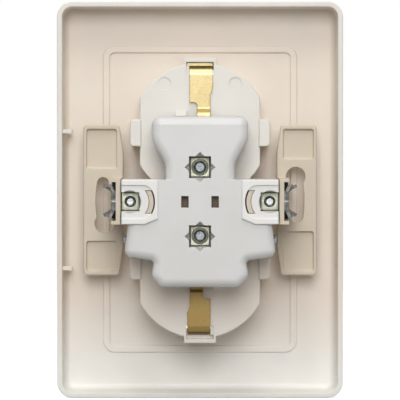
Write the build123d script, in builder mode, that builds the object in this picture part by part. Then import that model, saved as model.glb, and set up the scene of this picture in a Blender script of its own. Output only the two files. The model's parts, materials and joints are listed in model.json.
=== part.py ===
from build123d import *
import os
from math import asin, atan, degrees, sqrt

# Double earthed wall socket, in millimetres. X runs along the width, Z is up and the front faces -Y.
# The origin is the middle of the wall plane, where the rim of the cover ends.

# Cover plate
COVER_WIDTH = 88.0
COVER_HEIGHT = 122.0
COVER_DEPTH = 11.0
COVER_WALL = 1.6
COVER_FACE = 2.2
COVER_CORNER_R = 4.8
COVER_DRAFT_DEG = 3.0
COVER_EDGE_R = 1.4
COVER_FLOOR_R = 1.8
RIM_R = 0.3
SOFT_R = 0.4
FRAME_WIDTH = 60.3
FRAME_HEIGHT = 95.3
FRAME_CORNER_R = 3.7
FRAME_RIB_WIDTH = 2.2
FRAME_RIB_HEIGHT = 0.6
FRAME_RIB_R = 0.45
FRAME_GROOVE_WIDTH = 1.2
FRAME_GROOVE_DEPTH = 0.8
LATCH_LENGTH = 2.7
LATCH_HEIGHT = 1.2
LATCH_DEPTH = 5.0
LATCH_START = 1.0
LATCH_Z = 21.1

# Wells for the plugs, and what stands beside them
WELL_GAP = 0.2
WELL_DEPTH = 17.5
WELL_BORE_R = 19.5
WELL_WALL = 1.5
WELL_FLAT = 16.8
WELL_FLOOR = 2.0
WELL_LIP_R = 0.6
WELL_BRIDGE_WIDTH = 16.0
GUIDE_WIDTH = 4.6
GUIDE_REACH = 1.9
GUIDE_START = 1.2
PIN_PITCH = 19.0
PIN_HOLE_R = 2.75
EAR_REACH = 3.0
EAR_PROUD = 0.8
EAR_OFFSET = 0.5
EAR_CORNER_R = 1.2
UPPER_EAR_HEIGHT = 8.2
LOWER_EAR_HEIGHT = 6.8
LOCATOR_WIDTH = 3.5
LOCATOR_HEIGHT = 1.6
LOCATOR_REACH = 3.0
LOCATOR_X = 5.8
LOCATOR_GAP = 0.2
EJECTOR_X = 10.8
EJECTOR_RISE = 14.5
EJECTOR_R = 1.9
EJECTOR_DEPTH = 0.2

# Earth contacts, folded from strip
STRIP_THICK = 0.8
STRIP_END_WIDTH = 7.0
STRIP_BODY_WIDTH = 7.2
STRIP_BODY_INSET = 1.7
STRIP_END_OFFSET = 0.35
STRIP_NECK_LEFT = 3.1
STRIP_NECK_RIGHT = 0.85
STRIP_NECK_PROUD = 4.4
STRIP_SLANT_START = 2.3
STRIP_SLANT_END = 4.3
STRIP_CORNER_R = 1.0
STRIP_STEP_GAP = 0.9
STRIP_STEP_RUN = 1.4
STRIP_BEND_R = 0.9
STRIP_END_BEND_R = 2.2
STRIP_GAP = 0.1
STRIP_NOTCH_GAP = 0.2
SPRING_WIDTH = 5.0
SPRING_INSET = 2.6
SPRING_TIP_INSET = 0.7
SPRING_START = 11.8
SPRING_PEAK = 7.7
SPRING_TIP = 4.8
SPRING_BEND_R = 1.3
CLIP_WINDOW_START = 3.4
CLIP_WINDOW_GAP = 0.3
CLIP_LEG_INSET = 1.7
CLIP_LEG_GAP = 0.15
CLIP_POCKET_WIDTH = 1.25
CLIP_POCKET_DEPTH = 2.5
CLIP_SEAT_WALL = 1.2
CLIP_CHEEK = 0.7
DIVIDER_THICK = 0.8

# Bracket
STRAP_GAP = 0.2
STRAP_THICK = 2.0
STRAP_HALF_HEIGHT = 6.5
WEB_INNER = 23.8
WEB_THICK = 1.4
CHANNEL_HALF_HEIGHT = 6.85
CHANNEL_DEPTH = 24.0
FLANGE_THICK = 1.0
FLANGE_REACH = 1.5
PLATE_THICK = 2.5
PLATE_INNER = 23.6
PLATE_INNER_END = 24.9
PLATE_OUTER = 35.9
PLATE_HALF_HEIGHT = 23.2
PLATE_SLANT_START = 14.5
PLATE_CORNER_R = 1.2
PLATE_EDGE_R = 0.5
PLATE_POCKET_DEPTH = 1.3
PLATE_POCKET_INNER = 25.6
PLATE_POCKET_OUTER = 34.95
PLATE_POCKET_END = 21.8
PLATE_POCKET_R = 0.8
PLATE_POCKET_FLOOR_R = 0.4
PLATE_POCKET_RIM_R = 0.25
TALL_POCKET_START = 9.7
SHORT_POCKET_START = 12.65
BOX_SCREW_PITCH = 60.0
KEYHOLE_BOW = 0.3
KEYHOLE_HEAD_R = 3.0
KEYHOLE_WIDTH = 3.7
KEYHOLE_HEAD_Z = 7.2
KEYHOLE_END_Z = 5.2
RAMP_LENGTH = 2.2
RAMP_TOP = 4.6
RAMP_END = 3.2
RAMP_HALF_WIDTH = 2.6
SNAP_INNER_R = 6.2
SNAP_OUTER_R = 7.1
SNAP_HALF_HEIGHT = 3.3
SNAP_HOOK = 0.4
SNAP_HOOK_DEPTH = 1.2
SNAP_GAP = 0.15
SNAP_RELEASE_GAP = 0.4
SNAP_SUNK = 0.1

# White base of the contact block
BASE_DEPTH = 16.8
BASE_BACK_WALL = 1.5
BASE_WALL = 1.4
BASE_BACK_R = 2.5
BASE_MARGIN = 4.4
HEAD_HALF_WIDTH = 14.4
HEAD_CORNER_R = 2.7
HEAD_SIDE = 7.0
SWEEP_R = 6.0
NECK_HALF_WIDTH = 10.3
NECK_TOP = 11.5
SHOULDER_TOP_X = 21.2
SHOULDER_TOP_Z = 4.0
SHOULDER_X = 22.7
SHOULDER_Z = 16.3
SHOULDER_R = 2.2
WAIST_X = 13.7
WAIST_Z = 17.6
WAIST_R = 1.2
FOOT_X = 14.6
FOOT_RISE = 3.2
FOOT_R = 3.0
FOOT_END_X = 11.7
FOOT_END_R = 2.6
LUG_HALF_HEIGHT = 6.66
LUG_HALF_SPAN = 23.4
LUG_INNER = 12.5
LUG_RAISE = 0.8
LUG_EDGE_R = 0.25
LUG_CHAMFER_X = 16.5
LUG_CHAMFER_Z = 5.0
LUG_RECESS_HALF_HEIGHT = 5.0
LUG_RECESS_INNER = 14.0
LUG_RECESS_R = 3.0
LUG_RECESS_DEPTH = 0.5
WINDOW_WIDTH = 2.2
WINDOW_HEIGHT = 3.45
WINDOW_X = 4.5

# Plate over the contact chamber
CHAMBER_GAP = 0.1
CHAMBER_COVER_THICK = 1.5
CHAMBER_COVER_FIT = 0.15
CHAMBER_PIN_HOLE_R = 2.6
CHAMBER_SCREW_HOLE_R = 2.1
WINDOW_PAD_MARGIN = 0.5
WINDOW_PAD_GAP = 1.0

# Cover screws, their nuts and the star-shaped holes
COVER_SCREW_Z = 10.3
COVER_SCREW_R = 1.75
COVER_SCREW_HEAD_R = 3.3
COVER_SCREW_SUNK = 0.1
COVER_SCREW_SHORT = 0.6
COVER_NUT_SIDE = 6.0
COVER_NUT_THICK = 2.2
COVER_NUT_FRONT = 19.6
COVER_NUT_SHELF = 2.0
STAR_SQUARE = 6.6
STAR_TIP = 4.6
STAR_TIP_DEEP = 3.5
STAR_TIP_DEPTH = 5.0
STAR_WALL = 1.4

# Fits of screws, nuts and slots
NUT_GAP = 0.1
THREAD_GAP = 0.04
SHANK_GAP = 0.15
NUT_CHAMFER = 0.3
NUT_FUNNEL = 0.8
SLOT_WIDTH = 0.8
SLOT_DEPTH = 0.9

# Claws that grip the wall box
CLAW_SCREW_X = 20.9
CLAW_SCREW_R = 1.5
CLAW_SCREW_HEAD_R = 2.7
CLAW_SCREW_HEAD = 2.0
CLAW_SCREW_PROUD = 1.0
CLAW_NUT_SIDE = 5.5
CLAW_NUT_THICK = 1.8
CLAW_NUT_FRONT = 19.5
CLAW_NUT_RECESS_R = 3.4
CLAW_THICK = 1.0
CLAW_BEND_R = 0.5
CLAW_FORK_REACH = 2.0
CLAW_FORK_SLACK = 0.3
CLAW_FORK_HALF_WIDTH = 2.7
CLAW_LEG_GAP = 0.4
CLAW_LEG_END = 5.0
CLAW_SHOULDER = 15.4
CLAW_EAR_ROOT = 3.5
CLAW_EAR_REACH = 2.4
CLAW_EAR_FLARE = 1.4
CLAW_TOOTH = 0.8
CLAW_TEETH = 6
CLAW_SLOT_START = 11.2
CLAW_SLOT_GAP = 0.4

# Side terminals
TERMINAL_Z = -11.5
TERMINAL_Y = 19.0
SET_SCREW_R = 1.46
SET_SCREW_END = 23.0
SIDE_NUT_SIDE = 5.5
SIDE_NUT_THICK = 2.0
SIDE_NUT_INNER = 18.85
CLAMP_PLATE_THICK = 1.0
CLAMP_PLATE_SIDE = 5.2
WIRE_R = 1.75
WIRE_GAP = 0.1
TERMINAL_WALL = 1.0
TERMINAL_BLOCK_OUTER = 21.4

# Busbars and pin sleeves
BUSBAR_THICK = 0.8
BUSBAR_X = 8.0
BUSBAR_FRONT = 21.5
BUSBAR_DEPTH = 3.5
SLEEVE_BORE_R = 2.45
SLEEVE_WALL = 0.6
SLEEVE_FRONT = 14.0
SLEEVE_LENGTH = 10.5
SLEEVE_SLOT_WIDTH = 1.0
SLEEVE_SLOT_LENGTH = 7.0
SLEEVE_JOIN = 2.3
SLEEVE_POST_R = 4.1
SLEEVE_POST_HEIGHT = 4.0
TAB_HALF_WIDTH = 2.5
TAB_FRONT = 15.6
BUSBAR_GAP = 0.15

# Earth terminal
EARTH_TERMINAL_INSET = 6.0
EARTH_SCREW_R = 1.5
EARTH_SCREW_HEAD_R = 2.7
EARTH_SCREW_HEAD = 1.9
EARTH_SCREW_PROUD = 1.1
EARTH_NUT_SIDE = 6.0
EARTH_NUT_THICK = 2.0
EARTH_NUT_FRONT = 17.5
EARTH_WIRE_Y = 14.8

# Depths and places that follow from these sizes
FRONT = -COVER_DEPTH
FACE_BACK = FRONT + COVER_FACE
WELL_BOTTOM = FRONT + WELL_DEPTH
WELL_BACK = WELL_BOTTOM + WELL_FLOOR
WELL_OUTER_R = WELL_BORE_R + WELL_WALL
WELL_Z = WELL_OUTER_R + WELL_GAP / 2
WELL_OUTER_FLAT = WELL_FLAT + WELL_WALL
EJECTOR_Z = WELL_Z + EJECTOR_RISE
PIN_X = PIN_PITCH / 2
PIN_HOLES = [(x, z) for x in (PIN_X, -PIN_X) for z in (WELL_Z, -WELL_Z)]
STRAP_FRONT = WELL_BACK + STRAP_GAP
STRAP_BACK = STRAP_FRONT + STRAP_THICK
BASE_TOP = WELL_Z + BASE_MARGIN
HEAD_SWEEP_TOP = BASE_TOP - HEAD_SIDE
FOOT_Z = BASE_TOP - FOOT_RISE
EARTH_TERMINAL_Z = BASE_TOP - EARTH_TERMINAL_INSET
STRIP_BODY_END = BASE_TOP - STRIP_BODY_INSET
STRIP_NECK_END = BASE_TOP + STRIP_NECK_PROUD
BASE_BACK = STRAP_BACK + BASE_DEPTH
BASE_FLOOR = BASE_BACK - BASE_BACK_WALL
LUG_BACK = BASE_BACK + LUG_RAISE
LUG_FLOOR = LUG_BACK - LUG_RECESS_DEPTH
BRIDGE_FRONT = STRAP_BACK + CHAMBER_GAP
BRIDGE_BACK = BRIDGE_FRONT + STRIP_THICK
CHAMBER_COVER_FRONT = BRIDGE_BACK + CHAMBER_GAP
CHAMBER_COVER_BACK = CHAMBER_COVER_FRONT + CHAMBER_COVER_THICK
SPRING_LEG_Y = FRONT + SPRING_START
SPRING_REACH = WELL_BORE_R - SPRING_INSET
SPRING_TIP_R = WELL_BORE_R - SPRING_TIP_INSET
CLIP_LEG_Z = WELL_Z + WELL_OUTER_R - CLIP_LEG_INSET
END_WINDOW_HALF = STRIP_END_WIDTH / 2 + STRIP_END_OFFSET + CLIP_WINDOW_GAP
MIDDLE_WINDOW_HALF = SPRING_WIDTH / 2 + CLIP_WINDOW_GAP
CLIP_SLOT_Z = CLIP_LEG_Z + STRIP_THICK / 2 + CLIP_LEG_GAP
CLIP_POCKET_Z = CLIP_SLOT_Z + CLIP_POCKET_WIDTH
CLIP_WINDOW_Y = FRONT + CLIP_WINDOW_START
MIDDLE_LEG_Z = DIVIDER_THICK / 2 + STRIP_GAP + STRIP_THICK / 2
MIDDLE_WINDOW_Z = MIDDLE_LEG_Z + STRIP_THICK / 2 + 2 * CLIP_WINDOW_GAP
STRIP_OUTER_Y = WELL_BACK + STRIP_GAP + STRIP_THICK / 2
BRIDGE_Y = BRIDGE_FRONT + STRIP_THICK / 2
WEB_OUTER = WEB_INNER + WEB_THICK
CHANNEL_OUTER = WEB_OUTER + FLANGE_REACH
COVER_NUT_BACK = COVER_NUT_FRONT + COVER_NUT_THICK
CLAW_FOOT_BACK = CLAW_NUT_FRONT - NUT_GAP
CLAW_LEG_INNER = WEB_OUTER + CLAW_LEG_GAP
CLAMP_PLATE_OUTER = SIDE_NUT_INNER - NUT_GAP
CLAMP_PLATE_INNER = CLAMP_PLATE_OUTER - CLAMP_PLATE_THICK
TAB_OUTER = CLAMP_PLATE_INNER - 2 * WIRE_R
TAB_INNER = TAB_OUTER - BUSBAR_THICK
WIRE_X = TAB_OUTER + WIRE_R
BUSBAR_BACK = BUSBAR_FRONT + BUSBAR_DEPTH
LINK_FRONT = BUSBAR_BACK - BUSBAR_THICK
SLEEVE_OUTER_R = SLEEVE_BORE_R + SLEEVE_WALL
SLEEVE_BACK = SLEEVE_FRONT + SLEEVE_LENGTH

# Overrun of a cut or of one body into the next, and the reach of a depth selector
OVERLAP = 0.4
NEAR = 0.01


def at_depth(y):
    """The sketch plane at depth y, with axes X and Z: what is extruded from it runs towards the front."""
    return Plane.XZ.offset(-y)


def beside(x):
    """The sketch plane at x across the width, with axes Y and Z: what is extruded from it runs to +X."""
    return Plane.YZ.offset(x)


def mirrored(points):
    """The right half of an outline and its mirror image, in order around it."""
    return points + [(-x, z) for x, z in reversed(points)]


def block_outline(shoulder_top):
    """Corners and corner radii of the contact block, with its shoulders cut off at shoulder_top."""
    corners = [
        (HEAD_HALF_WIDTH, BASE_TOP),
        (HEAD_HALF_WIDTH, HEAD_SWEEP_TOP),
        (NECK_HALF_WIDTH, NECK_TOP),
        (NECK_HALF_WIDTH, shoulder_top),
        (SHOULDER_TOP_X, shoulder_top),
        (SHOULDER_X, -SHOULDER_Z),
        (WAIST_X, -WAIST_Z),
        (FOOT_X, -FOOT_Z),
        (FOOT_END_X, -BASE_TOP),
    ]
    radii = [HEAD_CORNER_R, SWEEP_R, SWEEP_R, 0, 0, SHOULDER_R, WAIST_R, FOOT_R, FOOT_END_R]
    return mirrored(corners), radii + radii[::-1]


def spring_line(well_z, way):
    """Middle line, as (y, z), of the spring that bows into a well from above (way 1) or below (way -1)."""
    return [
        (FRONT + SPRING_PEAK, well_z + way * SPRING_REACH),
        (FRONT + SPRING_TIP, well_z + way * SPRING_TIP_R),
    ]


def save(builder, name):
    """Label a finished piece and write it to its own file."""
    builder.part.label = name
    export_step(builder.part, f"parts/{name}.step")


def square_nut(name, plane, place, side, thick, bore_r, funnel=0):
    """A square nut with eased corners. Its bore clears the thread and may open in a funnel at the back."""
    with BuildPart() as nut:
        with BuildSketch(plane):
            with Locations(place):
                Rectangle(side, side)
        extrude(amount=thick)
        chamfer(nut.edges(), NUT_CHAMFER)
        with BuildSketch(plane):
            with Locations(place):
                Circle(bore_r + THREAD_GAP)
        extrude(amount=thick, mode=Mode.SUBTRACT)
        if funnel:
            chamfer(nut.faces().sort_by(Axis.Y)[-1].edges().filter_by(GeomType.CIRCLE), funnel)
    save(nut, name)


def depth_screw(name, x, z, profile, head_r):
    """A slotted screw along Y, turned from (radius, y) corners that start at the middle of its head."""
    head_front = profile[0][1]
    with BuildPart() as screw:
        with BuildSketch(Plane.XY.offset(z)):
            with BuildLine():
                Polyline(*[(x + r, y) for r, y in profile], close=True)
            make_face()
        revolve(axis=Axis((x, 0, z), (0, 1, 0)))
        with BuildSketch(at_depth(head_front + SLOT_DEPTH)):
            with Locations((x, z)):
                Rectangle(2 * (head_r + OVERLAP), SLOT_WIDTH)
        extrude(amount=SLOT_DEPTH, mode=Mode.SUBTRACT)
    save(screw, name)


os.makedirs("parts", exist_ok=True)

# Cover: one ivory moulding of the plate and both wells
with BuildPart() as cover:
    with BuildSketch(at_depth(0)):
        RectangleRounded(COVER_WIDTH, COVER_HEIGHT, COVER_CORNER_R)
    extrude(amount=COVER_DEPTH, taper=COVER_DRAFT_DEG)
    fillet(cover.faces().sort_by(Axis.Y)[0].edges(), COVER_EDGE_R)
    with BuildSketch(at_depth(0)):
        RectangleRounded(
            COVER_WIDTH - 2 * COVER_WALL,
            COVER_HEIGHT - 2 * COVER_WALL,
            COVER_CORNER_R - COVER_WALL,
        )
    extrude(amount=-FACE_BACK, taper=COVER_DRAFT_DEG, mode=Mode.SUBTRACT)
    floor_edges = cover.edges().filter_by_position(Axis.Y, FACE_BACK - NEAR, FACE_BACK + NEAR)
    fillet(floor_edges, COVER_FLOOR_R)
    fillet(cover.faces().sort_by(Axis.Y)[-1].edges(), RIM_R)

    # Decorative frame: a low rib behind the face and a groove in front of it
    with BuildSketch(at_depth(FACE_BACK + FRAME_RIB_HEIGHT)):
        RectangleRounded(FRAME_WIDTH, FRAME_HEIGHT, FRAME_CORNER_R)
        RectangleRounded(
            FRAME_WIDTH - 2 * FRAME_RIB_WIDTH,
            FRAME_HEIGHT - 2 * FRAME_RIB_WIDTH,
            FRAME_CORNER_R - FRAME_RIB_WIDTH,
            mode=Mode.SUBTRACT,
        )
    extrude(amount=FRAME_RIB_HEIGHT + OVERLAP)
    rib_back = FACE_BACK + FRAME_RIB_HEIGHT
    fillet(cover.faces().filter_by_position(Axis.Y, rib_back - NEAR, rib_back + NEAR).edges(), FRAME_RIB_R)
    frame_inset = (FRAME_RIB_WIDTH - FRAME_GROOVE_WIDTH) / 2
    with BuildSketch(at_depth(FRONT + FRAME_GROOVE_DEPTH)):
        RectangleRounded(
            FRAME_WIDTH - 2 * frame_inset, FRAME_HEIGHT - 2 * frame_inset, FRAME_CORNER_R - frame_inset
        )
        RectangleRounded(
            FRAME_WIDTH - 2 * (frame_inset + FRAME_GROOVE_WIDTH),
            FRAME_HEIGHT - 2 * (frame_inset + FRAME_GROOVE_WIDTH),
            FRAME_CORNER_R - frame_inset - FRAME_GROOVE_WIDTH,
            mode=Mode.SUBTRACT,
        )
    extrude(amount=FRAME_GROOVE_DEPTH, mode=Mode.SUBTRACT)

    # Small ledges on the inner side wall
    with BuildSketch(at_depth(-LATCH_START)):
        with Locations((COVER_WIDTH / 2 - COVER_WALL - LATCH_LENGTH / 2, LATCH_Z),
                       (COVER_WIDTH / 2 - COVER_WALL - LATCH_LENGTH / 2, -LATCH_Z)):
            Rectangle(LATCH_LENGTH + OVERLAP, LATCH_HEIGHT)
    extrude(amount=LATCH_DEPTH)

    # Outsides of the wells, the ribs beside them and the seats of the end springs
    with BuildSketch(at_depth(WELL_BACK)):
        with Locations((0, WELL_Z), (0, -WELL_Z)):
            Circle(WELL_OUTER_R)
        Rectangle(2 * WELL_OUTER_FLAT, COVER_HEIGHT, mode=Mode.INTERSECT)
    extrude(amount=WELL_BACK - FACE_BACK + OVERLAP)
    fillet(cover.faces().group_by(Axis.Y)[-1].edges(), SOFT_R)
    with BuildSketch(at_depth(WELL_BACK)):
        Rectangle(WELL_BRIDGE_WIDTH, 2 * (WELL_Z - WELL_BORE_R))
        for way in (1, -1):
            with Locations((0, way * WELL_Z)):
                Rectangle(
                    2 * (END_WINDOW_HALF + CLIP_CHEEK),
                    2 * (CLIP_POCKET_Z + CLIP_SEAT_WALL - WELL_Z),
                )
    extrude(amount=WELL_BACK - FACE_BACK + OVERLAP)
    ear_middle = WELL_OUTER_FLAT + (EAR_REACH - OVERLAP) / 2
    with BuildSketch(at_depth(WELL_BACK + EAR_PROUD)):
        with Locations((ear_middle, WELL_Z - EAR_OFFSET), (-ear_middle, WELL_Z - EAR_OFFSET)):
            Rectangle(EAR_REACH + OVERLAP, UPPER_EAR_HEIGHT)
        with Locations((ear_middle, EAR_OFFSET - WELL_Z), (-ear_middle, EAR_OFFSET - WELL_Z)):
            Rectangle(EAR_REACH + OVERLAP, LOWER_EAR_HEIGHT)
    extrude(amount=WELL_BACK + EAR_PROUD - FACE_BACK + OVERLAP)
    ear_end = WELL_OUTER_FLAT + EAR_REACH - OVERLAP / 2
    ear_corners = cover.edges().filter_by(Axis.Y).filter_by(
        lambda edge: abs(abs(edge.center().X) - ear_end) < OVERLAP and edge.center().Y > FACE_BACK
    )
    fillet(ear_corners, EAR_CORNER_R)
    fillet(cover.faces().group_by(Axis.Y)[-1].edges(), SOFT_R)

    # Insides of the wells, their lips and the guide ribs for the plugs
    with BuildSketch(at_depth(WELL_BOTTOM)):
        with Locations((0, WELL_Z), (0, -WELL_Z)):
            Circle(WELL_BORE_R)
        Rectangle(2 * WELL_FLAT, COVER_HEIGHT, mode=Mode.INTERSECT)
    extrude(amount=WELL_DEPTH, mode=Mode.SUBTRACT)
    lips = cover.edges().filter_by_position(Axis.Y, FRONT - NEAR, FRONT + NEAR).filter_by(
        lambda edge: abs(edge.center().X) < WELL_OUTER_FLAT and abs(edge.center().Z) < 2 * WELL_Z
    )
    fillet(lips, WELL_LIP_R)
    guide_middle = WELL_FLAT - (GUIDE_REACH - OVERLAP) / 2
    with BuildSketch(at_depth(WELL_BOTTOM + OVERLAP)):
        with Locations(*[(x, z) for x in (guide_middle, -guide_middle) for z in (WELL_Z, -WELL_Z)]):
            Rectangle(GUIDE_REACH + OVERLAP, GUIDE_WIDTH)
    extrude(amount=WELL_DEPTH + OVERLAP - GUIDE_START)

    # Windows for the springs, above, below and between the wells
    end_window = (END_WINDOW_HALF, CLIP_LEG_Z - STRIP_END_BEND_R, CLIP_SLOT_Z)
    middle_window = (MIDDLE_WINDOW_HALF, DIVIDER_THICK / 2, MIDDLE_WINDOW_Z)
    with BuildSketch(at_depth(WELL_BACK)):
        for half, low, high in (end_window, middle_window):
            with Locations((0, (low + high) / 2), (0, -(low + high) / 2)):
                Rectangle(2 * half, high - low)
    extrude(amount=WELL_BACK - CLIP_WINDOW_Y, mode=Mode.SUBTRACT)
    with BuildSketch(at_depth(WELL_BACK)):
        pocket_middle = CLIP_POCKET_Z - CLIP_POCKET_WIDTH / 2
        with Locations((0, pocket_middle), (0, -pocket_middle)):
            Rectangle(2 * END_WINDOW_HALF, CLIP_POCKET_WIDTH)
    extrude(amount=CLIP_POCKET_DEPTH, mode=Mode.SUBTRACT)

    # Holes for the pins and the countersunk screws
    with BuildSketch(at_depth(WELL_BACK)):
        with Locations(*PIN_HOLES):
            Circle(PIN_HOLE_R)
    extrude(amount=WELL_FLOOR, mode=Mode.SUBTRACT)
    with Locations(at_depth(WELL_BOTTOM)):
        with Locations((0, COVER_SCREW_Z), (0, -COVER_SCREW_Z)):
            CounterSinkHole(
                COVER_SCREW_R + SHANK_GAP,
                COVER_SCREW_HEAD_R + 2 * COVER_SCREW_SUNK,
                depth=WELL_FLOOR,
                counter_sink_angle=90,
            )

    # Round ejector marks on the floor of the upper well
    with BuildSketch(at_depth(WELL_BACK)):
        with Locations((EJECTOR_X, EJECTOR_Z), (-EJECTOR_X, EJECTOR_Z)):
            Circle(EJECTOR_R)
    extrude(amount=EJECTOR_DEPTH, mode=Mode.SUBTRACT)

    # Tabs behind the wells that locate the contact block
    locator_z = BASE_TOP + LOCATOR_GAP + LOCATOR_HEIGHT / 2
    with BuildSketch(at_depth(WELL_BACK + LOCATOR_REACH)):
        with Locations((LOCATOR_X, locator_z), (-LOCATOR_X, -locator_z)):
            Rectangle(LOCATOR_WIDTH, LOCATOR_HEIGHT)
    extrude(amount=LOCATOR_REACH + OVERLAP)
save(cover, "cover")

# Bracket: one beige moulding that screws or clamps to the wall box
with BuildPart() as bracket:
    with BuildSketch(at_depth(0)):
        for side in (1, -1):
            with BuildLine():
                Polyline(
                    (side * PLATE_INNER, PLATE_SLANT_START),
                    (side * PLATE_INNER_END, PLATE_HALF_HEIGHT),
                    (side * PLATE_OUTER, PLATE_HALF_HEIGHT),
                    (side * PLATE_OUTER, -PLATE_HALF_HEIGHT),
                    (side * PLATE_INNER_END, -PLATE_HALF_HEIGHT),
                    (side * PLATE_INNER, -PLATE_SLANT_START),
                    close=True,
                )
            make_face()
    extrude(amount=PLATE_THICK)
    fillet(bracket.edges().filter_by(Axis.Y), PLATE_CORNER_R)
    fillet(bracket.faces().filter_by_position(Axis.Y, -NEAR, NEAR).edges(), PLATE_EDGE_R)

    # Pockets in the back of the plates, turned half a turn from one plate to the other
    pocket_width = PLATE_POCKET_OUTER - PLATE_POCKET_INNER
    pocket_x = (PLATE_POCKET_OUTER + PLATE_POCKET_INNER) / 2
    tall_pocket = (TALL_POCKET_START, PLATE_POCKET_END)
    short_pocket = (-PLATE_POCKET_END, -SHORT_POCKET_START)
    with BuildSketch(at_depth(0)):
        for side in (1, -1):
            for low, high in (tall_pocket, short_pocket):
                with Locations((side * pocket_x, side * (low + high) / 2)):
                    RectangleRounded(pocket_width, high - low, PLATE_POCKET_R)
    extrude(amount=PLATE_POCKET_DEPTH, mode=Mode.SUBTRACT)
    floors = bracket.faces().filter_by_position(
        Axis.Y, -PLATE_POCKET_DEPTH - NEAR, -PLATE_POCKET_DEPTH + NEAR
    )
    fillet(floors.edges(), PLATE_POCKET_FLOOR_R)
    rims = [
        edge
        for face in bracket.faces().filter_by_position(Axis.Y, -NEAR, NEAR)
        for wire in face.inner_wires()
        for edge in wire.edges()
    ]
    fillet(rims, PLATE_POCKET_RIM_R)

    # Keyholes for the box screws: a round head hole at the end of a curved slot
    keyhole_r = BOX_SCREW_PITCH / 2 + KEYHOLE_BOW
    head_angle = degrees(asin(KEYHOLE_HEAD_Z / keyhole_r))
    end_angle = degrees(asin(KEYHOLE_END_Z / keyhole_r))
    for half_turn in (0, 180):
        slot_line = CenterArc(
            (0, 0), keyhole_r, half_turn - head_angle, head_angle + end_angle, mode=Mode.PRIVATE
        )
        with BuildSketch(at_depth(0)):
            SlotArc(slot_line, KEYHOLE_WIDTH)
            with PolarLocations(keyhole_r, 1, start_angle=half_turn - head_angle):
                Circle(KEYHOLE_HEAD_R)
        extrude(amount=PLATE_THICK, mode=Mode.SUBTRACT)

    # Channels for the claws, with a slot in each web for the claw's foot
    for side in (1, -1):
        with BuildSketch(at_depth(CHANNEL_DEPTH)):
            with Locations((side * (WEB_INNER + WEB_THICK / 2), 0)):
                Rectangle(WEB_THICK, 2 * CHANNEL_HALF_HEIGHT)
            flange_z = CHANNEL_HALF_HEIGHT - FLANGE_THICK / 2
            flange_x = (WEB_INNER + CHANNEL_OUTER) / 2
            with Locations((side * flange_x, flange_z), (side * flange_x, -flange_z)):
                Rectangle(CHANNEL_OUTER - WEB_INNER, FLANGE_THICK)
        extrude(amount=CHANNEL_DEPTH + PLATE_THICK)
        slot_end = CLAW_NUT_FRONT + CLAW_SLOT_GAP
        with BuildSketch(beside(side * WEB_INNER)):
            with Locations(((CLAW_SLOT_START + slot_end) / 2, 0)):
                Rectangle(slot_end - CLAW_SLOT_START, 2 * (CLAW_FORK_HALF_WIDTH + SHANK_GAP))
        extrude(amount=side * WEB_THICK, mode=Mode.SUBTRACT)
        with BuildSketch(Plane.XY):
            with BuildLine():
                Polyline(
                    (side * (WEB_OUTER - OVERLAP), -OVERLAP),
                    (side * (WEB_OUTER - OVERLAP), RAMP_TOP),
                    (side * WEB_OUTER, RAMP_TOP),
                    (side * (WEB_OUTER + RAMP_LENGTH), RAMP_END),
                    (side * (WEB_OUTER + RAMP_LENGTH), -OVERLAP),
                    close=True,
                )
            make_face()
        extrude(amount=RAMP_HALF_WIDTH, both=True)

    # Strap between the channels, behind the wells
    with BuildSketch(at_depth(STRAP_BACK)):
        Rectangle(2 * (WEB_INNER + OVERLAP), 2 * STRAP_HALF_HEIGHT)
        with Locations((CLAW_SCREW_X, 0), (-CLAW_SCREW_X, 0)):
            Circle(CLAW_SCREW_R + SHANK_GAP, mode=Mode.SUBTRACT)
        Rectangle(2 * MIDDLE_WINDOW_HALF, 2 * MIDDLE_WINDOW_Z, mode=Mode.SUBTRACT)
    extrude(amount=STRAP_THICK)

    # Curved snap posts that hold the contact block, with a hook on the claw side
    for side in (1, -1):
        snap_middle = (side * (CLAW_SCREW_X - SNAP_OUTER_R), 0)
        with BuildSketch(at_depth(LUG_FLOOR - SNAP_SUNK)):
            with Locations((side * CLAW_SCREW_X, 0)):
                Circle(SNAP_OUTER_R)
                Circle(SNAP_INNER_R, mode=Mode.SUBTRACT)
            with Locations(snap_middle):
                Rectangle(2 * SNAP_OUTER_R, 2 * SNAP_HALF_HEIGHT, mode=Mode.INTERSECT)
        extrude(amount=LUG_FLOOR - SNAP_SUNK - STRAP_BACK + OVERLAP)
        with BuildSketch(at_depth(LUG_FLOOR - SNAP_SUNK)):
            with Locations((side * CLAW_SCREW_X, 0)):
                Circle(SNAP_INNER_R + OVERLAP)
                Circle(SNAP_INNER_R - SNAP_HOOK, mode=Mode.SUBTRACT)
            with Locations(snap_middle):
                Rectangle(2 * SNAP_OUTER_R, 2 * SNAP_HALF_HEIGHT, mode=Mode.INTERSECT)
        extrude(amount=SNAP_HOOK_DEPTH)
save(bracket, "bracket")

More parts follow.
